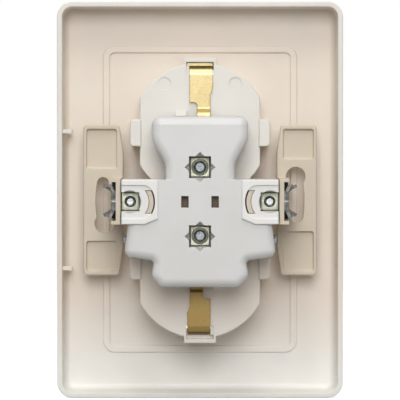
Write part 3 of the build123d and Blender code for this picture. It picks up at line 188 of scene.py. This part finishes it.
class Shader:
    """A node material around one Principled BSDF, built from textures in object coordinates."""

    def __init__(self, name, **settings):
        self.material = bpy.data.materials.new(name)
        self.material.use_nodes = True
        self.tree = self.material.node_tree
        self.bsdf = self.tree.nodes["Principled BSDF"]
        self.place = self.node("ShaderNodeTexCoord").outputs["Object"]
        for socket, value in settings.items():
            self.bsdf.inputs[socket.replace("_", " ")].default_value = value

    def node(self, kind, **properties):
        made = self.tree.nodes.new(kind)
        for name, value in properties.items():
            setattr(made, name, value)
        return made

    def link(self, source, target):
        self.tree.links.new(source, target)

    def noise(self, feature, detail=3, roughness=0.5, stretch=(1, 1, 1)):
        """Noise whose features are about that size in metres, stretched along the axes."""
        mapping = self.node("ShaderNodeMapping")
        mapping.inputs["Scale"].default_value = [1 / (feature * axis) for axis in stretch]
        self.link(self.place, mapping.inputs["Vector"])
        texture = self.node("ShaderNodeTexNoise")
        texture.inputs["Scale"].default_value = 1
        texture.inputs["Detail"].default_value = detail
        texture.inputs["Roughness"].default_value = roughness
        self.link(mapping.outputs["Vector"], texture.inputs["Vector"])
        return texture.outputs["Fac"]

    def spread(self, value, low, high, start=0.3, end=0.7):
        """Maps a value from start..end to low..high."""
        spread = self.node("ShaderNodeMapRange")
        self.link(value, spread.inputs["Value"])
        numbers = {"From Min": start, "From Max": end, "To Min": low, "To Max": high}
        for socket, number in numbers.items():
            spread.inputs[socket].default_value = number
        return spread.outputs["Result"]

    def blend(self, value, first, second):
        """A colour from the first to the second with the value. Each is a colour or a socket."""
        mix = self.node("ShaderNodeMix", data_type="RGBA")
        self.link(value, mix.inputs["Factor"])
        for socket, colour in (("A", first), ("B", second)):
            target = [s for s in mix.inputs if s.name == socket and s.type == "RGBA"][0]
            if isinstance(colour, tuple):
                target.default_value = colour
            else:
                self.link(colour, target)
        return [s for s in mix.outputs if s.type == "RGBA"][0]

    def coordinate(self, axis):
        """One coordinate of the place on the object, in metres."""
        split = self.node("ShaderNodeSeparateXYZ")
        self.link(self.place, split.inputs["Vector"])
        return split.outputs[axis]

    def distance(self, axis):
        """How far the place is from the middle along one axis, in metres."""
        size = self.node("ShaderNodeMath", operation="ABSOLUTE")
        self.link(self.coordinate(axis), size.inputs[0])
        return size.outputs[0]

    def beyond(self, axis, start, end):
        """0 below the start of a band along one axis and 1 beyond its end, both in metres."""
        return self.spread(self.coordinate(axis), 0, 1, start, end)

    def before(self, axis, start, end):
        """1 below the start of a band along one axis and 0 beyond its end, both in metres."""
        return self.spread(self.coordinate(axis), 1, 0, start, end)

    def product(self, first, second):
        """The product of two values."""
        times = self.node("ShaderNodeMath", operation="MULTIPLY")
        self.link(first, times.inputs[0])
        self.link(second, times.inputs[1])
        return times.outputs[0]

    def cut_edge(self, width):
        """1 on a sharp edge, falling to 0 at about that width from it."""
        bevel = self.node("ShaderNodeBevel", samples=8)
        bevel.inputs["Radius"].default_value = width
        likeness = self.node("ShaderNodeVectorMath", operation="DOT_PRODUCT")
        self.link(bevel.outputs["Normal"], likeness.inputs[0])
        self.link(self.node("ShaderNodeNewGeometry").outputs["Normal"], likeness.inputs[1])
        return self.spread(likeness.outputs["Value"], 0, 1, EDGE_STARTS, EDGE_FULL)

    def colour(self, value):
        self.link(value, self.bsdf.inputs["Base Color"])

    def colour_so_far(self):
        """The socket that the base colour comes from."""
        return self.bsdf.inputs["Base Color"].links[0].from_socket

    def roughness(self, value):
        self.link(value, self.bsdf.inputs["Roughness"])

    def relief(self, edge_radius, *layers):
        """Softened edges under layers of bump, each a (value, depth in metres)."""
        bevel = self.node("ShaderNodeBevel", samples=6)
        bevel.inputs["Radius"].default_value = edge_radius
        normal = bevel.outputs["Normal"]
        for value, depth in layers:
            bump = self.node("ShaderNodeBump")
            bump.inputs["Distance"].default_value = depth
            self.link(value, bump.inputs["Height"])
            self.link(normal, bump.inputs["Normal"])
            normal = bump.outputs["Normal"]
        self.link(normal, self.bsdf.inputs["Normal"])


def moulded_plastic(name, colour, shade, roughness, glow=0.12, grain=0.012 * MM):
    """Moulded plastic: a slow drift between two colours, flow marks, and a fine satin grain."""
    look = Shader(name, Subsurface_Weight=glow, Subsurface_Scale=1.5 * MM, IOR=1.5)
    look.bsdf.inputs["Subsurface Radius"].default_value = (1.0, 0.75, 0.55)
    drift = look.spread(look.noise(18 * MM, detail=4), 0, 1)
    look.colour(look.blend(drift, shade, colour))
    look.roughness(look.spread(look.noise(6 * MM, detail=5), roughness - 0.05, roughness + 0.07))
    flow = look.noise(9 * MM, detail=2, stretch=(1, 1, 0.35))
    look.relief(0.2 * MM, (flow, 0.05 * MM), (look.noise(0.35 * MM, detail=2), grain))
    return look


def ivory_plastic():
    """The cover: warm ivory with painted light and shade: paler, cooler copies on the rim, the
    lower edge and the back of the upper well, and a darker copy on the floor under the top wall.
    """
    look = moulded_plastic("ivory_plastic", linear(232, 223, 211), linear(229, 218, 205), 0.42)
    warm = look.colour_so_far()
    drift = look.spread(look.noise(14 * MM), 0, 1)
    # Painted light: paler and cooler copies of the ivory for the lit rim, the lower edge and the
    # upper parts.
    cool = look.blend(drift, linear(233, 231, 225), linear(240, 238, 233))
    pale = look.blend(drift, linear(224, 221, 214), linear(229, 226, 219))
    # Painted shade: a darker copy for the floor under the top wall.
    dull = linear(214, 204, 192)
    foot = look.before("Z", -52 * MM, -30 * MM)
    head = look.beyond("Z", 40 * MM, 57 * MM)
    rim = look.beyond("Y", -4 * MM, -0.5 * MM)
    floor = look.before("Y", -7.5 * MM, -5 * MM)
    side = look.spread(look.distance("X"), 0, 1, 34 * MM, 40 * MM)
    well_back = look.beyond("Y", 7.4 * MM, 8.2 * MM)
    # Painted light and shade by height: the warm colour for the shaded lower parts, the paler copy
    # for the lit upper parts.
    upper = look.blend(look.beyond("Z", -20 * MM, 12 * MM), warm, pale)
    body = look.blend(look.product(rim, side), warm, upper)
    body = look.blend(look.product(rim, head), body, pale)
    body = look.blend(look.product(floor, head), body, dull)
    body = look.blend(well_back, body, upper)
    look.colour(look.blend(foot, body, cool))
    return look.material


def beige_plastic():
    """The bracket: darker and duller than the cover."""
    colours = linear(213, 202, 184), linear(207, 195, 176)
    return moulded_plastic("beige_plastic", *colours, 0.5, grain=0.02 * MM).material


def white_plastic():
    """The contact block: cool white with soft reflections, and painted light that makes its raised
    lugs paler.
    """
    colours = linear(220, 220, 219), linear(214, 214, 212)
    look = moulded_plastic("white_plastic", *colours, 0.34, glow=0.15)
    plain = look.colour_so_far()
    # Painted light: the raised lugs are made paler, as if they caught more light.
    raised = look.beyond("Y", 27.5 * MM, 27.9 * MM)
    look.colour(look.blend(raised, plain, linear(234, 233, 230)))
    return look.material


def fibre_sheet(name, first, second, roughness, edge, depth):
    """A sheet whose colour and surface follow its fibres: the insulating plastic, and the dark
    sheets that are painted shade beside the claws.
    """
    look = Shader(name, Roughness=roughness)
    fibres = look.noise(0.5 * MM, detail=4, stretch=(1, 1, 6))
    look.colour(look.blend(look.spread(fibres, 0, 1), first, second))
    look.relief(edge, (fibres, depth))
    return look.material


def strip_brass(name, bright, dull, edge, shade_from=None, shade_to=None, painted_shade=None):
    """Rolled brass: speckle, streaks, dark cut edges, and, if asked, painted shade towards one end
    in place of a dark reflection, with a darker band of painted shadow.
    """
    look = Shader(name, Metallic=1.0)
    speckle = look.noise(0.28 * MM, detail=4, roughness=0.7)
    patches = look.noise(3 * MM, detail=3)
    colour = look.blend(look.spread(speckle, 0, 1, 0.35, 0.65), dull, bright)
    colour = look.blend(look.spread(patches, 0, 0.35), colour, scaled(dull, 0.85))
    if painted_shade:
        # Painted shade towards the lower end, which stands in for a dark reflection.
        colour = look.blend(look.before("Z", shade_from, shade_to), colour, painted_shade)
        # Painted shadow: darker still in a band beside the contact block.
        above = look.beyond("Z", shade_from + 0.5 * MM, shade_from + 8 * MM)
        below = look.before("Z", shade_to, shade_to + 4 * MM)
        colour = look.blend(look.product(above, below), colour, scaled(painted_shade, 0.5))
    look.colour(look.blend(look.cut_edge(0.3 * MM), colour, edge))
    look.roughness(look.spread(speckle, 0.24, 0.42))
    streaks = look.noise(0.2 * MM, detail=2, stretch=(1, 1, 12))
    look.relief(0.12 * MM, (speckle, 0.02 * MM), (streaks, 0.008 * MM))
    return look.material


def plated_steel(name, first, second, roughness, stretch=(1, 1, 1)):
    """Plated or plain steel whose colour drifts between two tints, with fine scratches."""
    look = Shader(name, Metallic=1.0)
    tint = look.noise(1.4 * MM, detail=4, roughness=0.6)
    look.colour(look.blend(look.spread(tint, 0, 1), first, second))
    look.roughness(look.spread(look.noise(0.6 * MM, detail=5), roughness - 0.08, roughness + 0.12))
    scratches = look.noise(0.15 * MM, detail=3, stretch=stretch)
    look.relief(0.12 * MM, (tint, 0.01 * MM), (scratches, 0.01 * MM))
    return look.material


# Materials by name. Each slot of the record has one of the same name.
materials = {
    "ivory_plastic": ivory_plastic(),
    "beige_plastic": beige_plastic(),
    "white_plastic": white_plastic(),
    "inner_plastic": fibre_sheet(
        "inner_plastic", linear(88, 69, 51), linear(114, 95, 73), 0.6, 0.1 * MM, 0.03 * MM
    ),
    # Painted shade: a near-black sheet for the deep shade beside the claws.
    "painted_shade_sheet": fibre_sheet(
        "painted_shade_sheet", linear(30, 22, 16), linear(20, 14, 10), 0.8, 0.05 * MM, 0.02 * MM
    ),
    "contact_brass": strip_brass(
        "contact_brass",
        linear(214, 192, 138),
        linear(188, 162, 106),
        linear(128, 100, 58),
    ),
    # The earth strip's lower end gets painted shade in place of a dark reflection.
    "earth_brass": strip_brass(
        "earth_brass",
        linear(184, 169, 130),
        linear(158, 142, 100),
        linear(96, 74, 42),
        shade_from=-34 * MM,
        shade_to=-8 * MM,
        painted_shade=linear(131, 110, 67),
    ),
    "bright_steel": plated_steel(
        "bright_steel", linear(152, 155, 159), linear(122, 126, 132), 0.26
    ),
    "yellow_zinc_steel": plated_steel(
        "yellow_zinc_steel", linear(196, 196, 179), linear(164, 166, 151), 0.42
    ),
    "claw_steel": plated_steel(
        "claw_steel", linear(146, 145, 144), linear(84, 83, 84), 0.36, stretch=(1, 6, 1)
    ),
    # Brighter steel: the claw screws' own, and a painted highlight on the claws' ribs.
    "polished_and_glint_steel": plated_steel(
        "polished_and_glint_steel", linear(216, 219, 219), linear(160, 166, 170), 0.22
    ),
}


def dress(piece, slot, look=None):
    """Gives a piece its material, the slot's own if none is named."""
    piece.data.materials.clear()
    piece.data.materials.append(materials[look or slot])


def mesh_object(name, build):
    """An object in the scene from a bmesh, with its faces turned outwards."""
    mesh = bpy.data.meshes.new(name)
    bmesh.ops.recalc_face_normals(build, faces=build.faces)
    build.to_mesh(mesh)
    build.free()
    made = bpy.data.objects.new(name, mesh)
    bpy.context.scene.collection.objects.link(made)
    return made


def carve(piece, cutter):
    """Cuts one object's shape out of another's mesh and removes the cutter."""
    cut = piece.modifiers.new("cut", "BOOLEAN")
    cut.operation = "DIFFERENCE"
    cut.solver = "EXACT"
    cut.object = cutter
    depsgraph = bpy.context.evaluated_depsgraph_get()
    carved = bpy.data.meshes.new_from_object(piece.evaluated_get(depsgraph))
    piece.modifiers.clear()
    piece.data = carved
    bpy.data.objects.remove(cutter)
    piece.data.shade_smooth()
    piece.data.set_sharp_from_angle(angle=SHARP_ANGLE)


def block(low, high):
    """A bmesh box between two corners."""
    build = bmesh.new()
    bmesh.ops.create_cube(build, size=1)
    size = Vector(high) - Vector(low)
    for vert in build.verts:
        vert.co = Vector([(low[i] + high[i]) / 2 + vert.co[i] * size[i] for i in range(3)])
    return build


def new_piece(name, build, slot, body, *replaced, look=None):
    """A smooth, dressed object from a bmesh that rides on its body in place of the named nodes."""
    piece = mesh_object(name, build)
    piece.data.shade_smooth()
    piece.data.set_sharp_from_angle(angle=SHARP_ANGLE)
    dress(piece, slot, look)
    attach(piece, body)
    if replaced:
        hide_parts(*replaced)
    return piece


def along(axis, centre, radius, angle, depth):
    """A point at that angle and radius about the axis through the centre, depth along it."""
    across, up = {"X": ("Y", "Z"), "Y": ("X", "Z")}[axis]
    point = {axis: depth, across: radius * cos(angle), up: radius * sin(angle)}
    return Vector((
        point["X"] + (0 if axis == "X" else centre[0]),
        point["Y"] + (0 if axis == "Y" else centre[1]),
        point["Z"] + centre[2],
    ))


def lathe(build, axis, centre, profile, segments):
    """Adds a closed turned solid. Its profile is a list of (depth, radius or radius by angle)."""
    rings = []
    for depth, radius in profile:
        ring = []
        for step in range(segments):
            angle = 2 * pi * step / segments
            reach = radius(angle) if callable(radius) else radius
            ring.append(build.verts.new(along(axis, centre, reach, angle, depth)))
        rings.append(ring)
    for ring, following in zip(rings, rings[1:]):
        for step in range(segments):
            after = (step + 1) % segments
            build.faces.new((ring[step], ring[after], following[after], following[step]))
    build.faces.new(rings[0])
    build.faces.new(rings[-1])


def threaded(start, end, crest, pitch):
    """Profile of a thread between two depths, chamfered at its end and run out at its start."""
    way = 1 if end > start else -1
    length = abs(end - start)
    rows = int(length / pitch * THREAD_ROWS)
    profile = []
    for row in range(rows + 1):
        travel = length * row / rows
        fade = min(travel / pitch, 1)
        limit = crest - max(TIP_CHAMFER - (length - travel), 0)

        def radius(angle, travel=travel, fade=fade, limit=limit):
            phase = (travel / pitch + angle / (2 * pi)) % 1
            groove = 1 - abs(2 * phase - 1)
            return min(crest - THREAD_DEPTH * fade * groove ** THREAD_ROUNDING, limit)

        profile.append((start + way * travel, radius))
    return profile


def round_head(radius, height, front, crest):
    """Profile of a cheese head whose face is at the front, with eased edges, down to the shank."""
    edge = HEAD_EDGE
    return [
        (front, radius - edge),
        (front + 0.3 * edge, radius - 0.3 * edge),
        (front + edge, radius),
        (front + height - 0.4 * edge, radius),
        (front + height, radius - 0.4 * edge),
        (front + height, crest),
    ]


def flat_head(radius, front, crest):
    """Profile of a countersunk head with a narrow land at its rim."""
    return [
        (front, radius - COVER_HEAD_FACE),
        (front + COVER_HEAD_STEP, radius - COVER_HEAD_EASE),
        (front + COVER_HEAD_LAND, radius - COVER_HEAD_EASE),
        (front + radius - crest, crest),
    ]


def depth_screw(node, body, crest, head, look=None):
    """A slotted screw along Y in place of a node: its head, then its thread to the far end."""
    box_low, box_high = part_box(node)
    centre = ((box_low[0] + box_high[0]) / 2, 0, (box_low[2] + box_high[2]) / 2)
    thread = threaded(head[-1][0], box_high[1], crest, THREAD_PITCH)
    build = bmesh.new()
    lathe(build, "Y", centre, head + thread, THREAD_SEGMENTS)
    piece = new_piece(f"{node}_threaded", build, "bright_steel", body, node, look=look)
    reach = 2 * crest + HEAD_EDGE
    cutter = block(
        (centre[0] - 2 * reach, head[0][0] - HEAD_EDGE, centre[2] - SLOT_WIDTH / 2),
        (centre[0] + 2 * reach, head[0][0] + SLOT_DEPTH, centre[2] + SLOT_WIDTH / 2),
    )
    carve(piece, mesh_object("slot_cutter", cutter))


def set_screw(node, body, side):
    """A slotted set screw along X in place of a node. Its slot is at the outer end."""
    box_low, box_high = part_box(node)
    centre = (0, (box_low[1] + box_high[1]) / 2, (box_low[2] + box_high[2]) / 2)
    inner, outer = (box_low[0], box_high[0]) if side > 0 else (box_high[0], box_low[0])
    foot = [
        (inner, SET_CREST - TIP_CHAMFER),
        (inner + side * TIP_CHAMFER, SET_CREST - THREAD_DEPTH),
    ]
    thread = threaded(foot[-1][0], outer, SET_CREST, THREAD_PITCH)
    build = bmesh.new()
    lathe(build, "X", centre, foot + thread[1:], THREAD_SEGMENTS)
    piece = new_piece(f"{node}_threaded", build, "bright_steel", body, node)
    slot_ends = sorted((outer - side * SLOT_DEPTH, outer + side * SLOT_DEPTH))
    cutter = block(
        (slot_ends[0], centre[1] - SLOT_WIDTH / 2, centre[2] - 2 * SET_CREST),
        (slot_ends[1], centre[1] + SLOT_WIDTH / 2, centre[2] + 2 * SET_CREST),
    )
    carve(piece, mesh_object("slot_cutter", cutter))


def bent_strip(build, side, line, half_width, thick):
    """Adds a strip bent along a line of (x, y) points, its width along Z."""
    corners = ((1, 1), (1, -1), (-1, -1), (-1, 1))
    rings = []
    for index, (x, y) in enumerate(line):
        before = line[max(index - 1, 0)]
        after = line[min(index + 1, len(line) - 1)]
        run = Vector((after[0] - before[0], after[1] - before[1])).normalized()
        off = Vector((-run.y, run.x)) * thick / 2
        rings.append([
            build.verts.new((side * (x + way * off.x), y + way * off.y, edge * half_width))
            for way, edge in corners
        ])
    for ring, following in zip(rings, rings[1:]):
        for corner in range(4):
            after = (corner + 1) % 4
            build.faces.new((ring[corner], ring[after], following[after], following[corner]))
    build.faces.new(rings[0])
    build.faces.new(rings[-1])


def claw_ear(build, side, way, shoulder, end):
    """Adds one flared edge of a claw's leg. It opens below the shoulder, and its rim is toothed."""
    rows = []
    for row in range(2 * CLAW_TEETH + 1):
        share = row / (2 * CLAW_TEETH)
        opened = min(1, EAR_OPENING * share)
        leg_x = CLAW_LEG_TOP + (CLAW_LEG_LOW - CLAW_LEG_TOP) * share
        reach = EAR_TOP_REACH + (EAR_REACH - EAR_TOP_REACH) * opened
        rim = EAR_TOP_RIM + (EAR_RIM - EAR_TOP_RIM) * opened
        length = 1 - EAR_BITE * (row % 2)
        middle = []
        for column in range(EAR_COLUMNS + 1):
            step = length * column / EAR_COLUMNS
            out = leg_x + reach * step ** EAR_CURL
            middle.append(Vector((out, EAR_ROOT + (rim - EAR_ROOT) * step)))
        outer, inner = [], []
        for column, point in enumerate(middle):
            run = middle[min(column + 1, EAR_COLUMNS)] - middle[max(column - 1, 0)]
            off = Vector((run.y, -run.x)).normalized() * EAR_THICK / 2
            outer.append(point + off)
            inner.append(point - off)
        depth = shoulder + (end - shoulder) * share
        rows.append([build.verts.new((side * p.x, depth, way * p.y)) for p in outer + inner[::-1]])
    count = len(rows[0])
    for ring, following in zip(rows, rows[1:]):
        for corner in range(count):
            after = (corner + 1) % count
            build.faces.new((ring[corner], ring[after], following[after], following[corner]))
    build.faces.new(rows[0])
    build.faces.new(rows[-1])


def arc(centre, radius, turns):
    """Points at those angles round a centre in the plane of X and Y."""
    return [(centre[0] + radius * cos(turn), centre[1] + radius * sin(turn)) for turn in turns]


def claw(node, side):
    """A pressed steel claw in place of a node: fork, bend, leg, toothed ears and a rib in brighter
    steel that is a painted highlight along the bend.
    """
    box_low, box_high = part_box(node)
    start = min(abs(box_low[0]), abs(box_high[0]))
    end, back = box_low[1], box_high[1]
    foot = back - CLAW_THICK / 2
    bend = (CLAW_LEG_TOP - CLAW_BEND_R, foot - CLAW_BEND_R)
    turns = [radians(90 - 90 * step / CLAW_BEND_STEPS) for step in range(CLAW_BEND_STEPS + 1)]
    line = [(start, foot)]
    line += arc(bend, CLAW_BEND_R, turns)
    line += [(CLAW_LEG_LOW, end)]
    build = bmesh.new()
    bent_strip(build, side, line, CLAW_HALF_WIDTH, CLAW_THICK)
    piece = new_piece(f"{node}_pressed", build, "claw_steel", body_of[node], node)

    screw_low, screw_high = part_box(f"{node}_screw")
    fork_x = (screw_low[0] + screw_high[0]) / 2 + side * CLAW_FORK_SLACK
    cutter = bmesh.new()
    through = [(foot - CLAW_THICK, CLAW_FORK_R), (foot + CLAW_THICK, CLAW_FORK_R)]
    lathe(cutter, "Y", (fork_x, 0, 0), through, THREAD_SEGMENTS)
    carve(piece, mesh_object("fork_cutter", cutter))
    ends = sorted((side * (start - CLAW_THICK), fork_x))
    cutter = block(
        (ends[0], foot - CLAW_THICK, -CLAW_FORK_R),
        (ends[1], foot + CLAW_THICK, CLAW_FORK_R),
    )
    carve(piece, mesh_object("fork_cutter", cutter))

    build = bmesh.new()
    for way in (1, -1):
        claw_ear(build, side, way, back - CLAW_SHOULDER_DROP, end)
    new_piece(f"{node}_ears", build, "claw_steel", body_of[node])

    # The rib's brighter steel is a painted highlight: the glint along the bend.
    rib_r = CLAW_BEND_R + RIB_RISE
    rib = [(bend[0] - RIB_LENGTH / 2, bend[1] + rib_r)]
    rib += arc(bend, rib_r, turns)
    rib += [(CLAW_LEG_TOP + 2 * RIB_RISE, bend[1] - RIB_LENGTH)]
    build = bmesh.new()
    bent_strip(build, side, rib, RIB_HALF_WIDTH, CLAW_THICK)
    new_piece(f"{node}_rib", build, "claw_steel", body_of[node], look="polished_and_glint_steel")


def claw_nut(node):
    """A square nut with rounded edges in place of a node. Its bore opens a little at the back."""
    box_low, box_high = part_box(node)
    centre = ((box_low[0] + box_high[0]) / 2, 0, (box_low[2] + box_high[2]) / 2)
    build = block(box_low, box_high)
    bmesh.ops.bevel(
        build,
        geom=build.edges[:],
        offset=NUT_EDGE,
        offset_type="OFFSET",
        segments=3,
        profile=0.5,
        affect="EDGES",
    )
    piece = new_piece(f"{node}_bored", build, "yellow_zinc_steel", body_of[node], node)
    cutter = bmesh.new()
    profile = [
        (box_low[1] - NUT_MOUTH, NUT_BORE_R),
        (box_high[1] - NUT_MOUTH, NUT_BORE_R),
        (box_high[1] + NUT_MOUTH, NUT_BORE_R + 2 * NUT_MOUTH),
    ]
    lathe(cutter, "Y", centre, profile, THREAD_SEGMENTS)
    carve(piece, mesh_object("bore_cutter", cutter))


def channel_shade_sheet(name, side):
    """A dark sheet on the bracket's plate, above and below the claw: painted shade where the
    channel beside the claw lies in deep shade.
    """
    build = bmesh.new()
    across = sorted((side * SHEET_INNER, side * SHEET_OUTER))
    for way in (1, -1):
        up = sorted((way * SHEET_START, way * SHEET_END))
        made = bmesh.ops.create_cube(build, size=1)
        for vert in made["verts"]:
            vert.co = Vector((
                across[vert.co.x > 0],
                SHEET_THICK * (vert.co.y > 0),
                up[vert.co.z > 0],
            ))
    new_piece(name, build, "inner_plastic", "root", look="painted_shade_sheet")


def box_piece(name, low, high, slot):
    """A small fixed block between two corners given in millimetres."""
    build = block([value * MM for value in low], [value * MM for value in high])
    new_piece(name, build, slot, "root")


# Every node keeps its shape and gets its slot's material
for subpart in frame["record"]["subparts"]:
    dress(nodes[subpart["node"]], subpart["material_slot"])

groups = frame["record"]["behaviour"]["bodies"]
body_of = {node: body for body, members in groups.items() for node in members}

# Finer meshes in place of the screws, the claws and the claw nuts
for node in ("upper_cover_screw", "lower_cover_screw"):
    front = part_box(node)[0][1]
    depth_screw(node, body_of[node], COVER_CREST, flat_head(COVER_HEAD_R, front, COVER_CREST))
for node in ("right_claw_screw", "left_claw_screw"):
    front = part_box(node)[0][1]
    claw_head = round_head(ROUND_HEAD_R, CLAW_HEAD, front, CLAW_CREST)
    depth_screw(node, body_of[node], CLAW_CREST, claw_head, look="polished_and_glint_steel")
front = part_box("earth_terminal_screw")[0][1]
earth_head = round_head(ROUND_HEAD_R, EARTH_HEAD, front, EARTH_CREST)
depth_screw("earth_terminal_screw", body_of["earth_terminal_screw"], EARTH_CREST, earth_head)
set_screw("phase_terminal_screw", body_of["phase_terminal_screw"], 1)
set_screw("neutral_terminal_screw", body_of["neutral_terminal_screw"], -1)
for name, side in (("right", 1), ("left", -1)):
    claw(f"{name}_claw", side)
    claw_nut(f"{name}_claw_nut")
    channel_shade_sheet(f"{name}_channel_shade_sheet", side)
for small_block in SMALL_BLOCKS:
    box_piece(*small_block)


def floor_material():
    """White to the camera and in reflections, and still takes the object's shadow."""
    material = bpy.data.materials.new("floor")
    material.use_nodes = True
    tree = material.node_tree
    tree.nodes.clear()
    path = tree.nodes.new("ShaderNodeLightPath")
    seen = path.outputs["Is Camera Ray"]
    for ray in ("Is Glossy Ray", "Is Transmission Ray"):
        either = tree.nodes.new("ShaderNodeMath")
        either.operation = "MAXIMUM"
        tree.links.new(seen, either.inputs[0])
        tree.links.new(path.outputs[ray], either.inputs[1])
        seen = either.outputs[0]
    strength = tree.nodes.new("ShaderNodeMath")
    strength.operation = "MULTIPLY"
    strength.inputs[1].default_value = FLOOR_GLOW
    tree.links.new(seen, strength.inputs[0])
    emission = tree.nodes.new("ShaderNodeEmission")
    tree.links.new(strength.outputs[0], emission.inputs["Strength"])
    diffuse = tree.nodes.new("ShaderNodeBsdfDiffuse")
    diffuse.inputs["Color"].default_value = linear(*FLOOR_COLOUR)
    both = tree.nodes.new("ShaderNodeAddShader")
    tree.links.new(diffuse.outputs[0], both.inputs[0])
    tree.links.new(emission.outputs[0], both.inputs[1])
    output = tree.nodes.new("ShaderNodeOutputMaterial")
    tree.links.new(both.outputs[0], output.inputs["Surface"])
    return material


def make_floor():
    """A wide pale floor under the socket's lower edge."""
    mesh = bpy.data.meshes.new("floor")
    signs = ((-1, -1), (1, -1), (1, 1), (-1, 1))
    corners = [(x * FLOOR_HALF, y * FLOOR_HALF, 0) for x, y in signs]
    mesh.from_pydata(corners, [], [(0, 1, 2, 3)])
    floor = bpy.data.objects.new("floor", mesh)
    floor.location.z = cad_low.z - FLOOR_GAP
    bpy.context.scene.collection.objects.link(floor)
    floor.data.materials.append(floor_material())


def make_world():
    """White to the camera and in reflections, and a soft warm ambient light for diffuse rays."""
    world = bpy.data.worlds.new("studio")
    bpy.context.scene.world = world
    world.use_nodes = True
    tree = world.node_tree
    tree.nodes.clear()
    path = tree.nodes.new("ShaderNodeLightPath")
    diffuse = tree.nodes.new("ShaderNodeMapRange")
    diffuse.inputs["To Min"].default_value = 1
    diffuse.inputs["To Max"].default_value = AMBIENT
    tree.links.new(path.outputs["Is Diffuse Ray"], diffuse.inputs["Value"])
    background = tree.nodes.new("ShaderNodeBackground")
    tint = tree.nodes.new("ShaderNodeMix")
    tint.data_type = "RGBA"
    tree.links.new(path.outputs["Is Diffuse Ray"], tint.inputs["Factor"])
    tint_ends = [socket for socket in tint.inputs if socket.type == "RGBA"]
    tint_ends[0].default_value = (1, 1, 1, 1)
    tint_ends[1].default_value = AMBIENT_COLOUR
    tinted = [socket for socket in tint.outputs if socket.type == "RGBA"][0]
    tree.links.new(tinted, background.inputs["Color"])
    tree.links.new(diffuse.outputs["Result"], background.inputs["Strength"])
    output = tree.nodes.new("ShaderNodeOutputWorld")
    tree.links.new(background.outputs[0], output.inputs["Surface"])


def make_lamp(name, place, size, power):
    """A square soft box aimed at the middle of the socket."""
    light = bpy.data.lights.new(name, "AREA")
    light.size = size
    light.energy = power
    lamp = bpy.data.objects.new(name, light)
    lamp.location = place
    lamp.rotation_mode = "QUATERNION"
    lamp.rotation_quaternion = (-Vector(place)).to_track_quat("-Z", "Y")
    bpy.context.scene.collection.objects.link(lamp)


def make_camera():
    """The photograph's view: from behind, a little above the middle."""
    camera = bpy.data.cameras.new("camera")
    camera.sensor_width = CAMERA_SENSOR
    camera.lens = camera.sensor_width * CAMERA_DISTANCE / PICTURE_SIDE
    view = bpy.data.objects.new("camera", camera)
    back = Vector((0, cos(CAMERA_ELEVATION), sin(CAMERA_ELEVATION)))
    view.location = back * CAMERA_DISTANCE
    view.rotation_mode = "QUATERNION"
    view.rotation_quaternion = (-back).to_track_quat("-Z", "Y")
    camera.clip_start = CAMERA_CLIP_START
    bpy.context.scene.collection.objects.link(view)
    bpy.context.scene.camera = view


make_floor()
make_world()
for lamp_settings in LAMPS:
    make_lamp(*lamp_settings)
make_camera()
bpy.context.scene.view_settings.view_transform = "Standard"
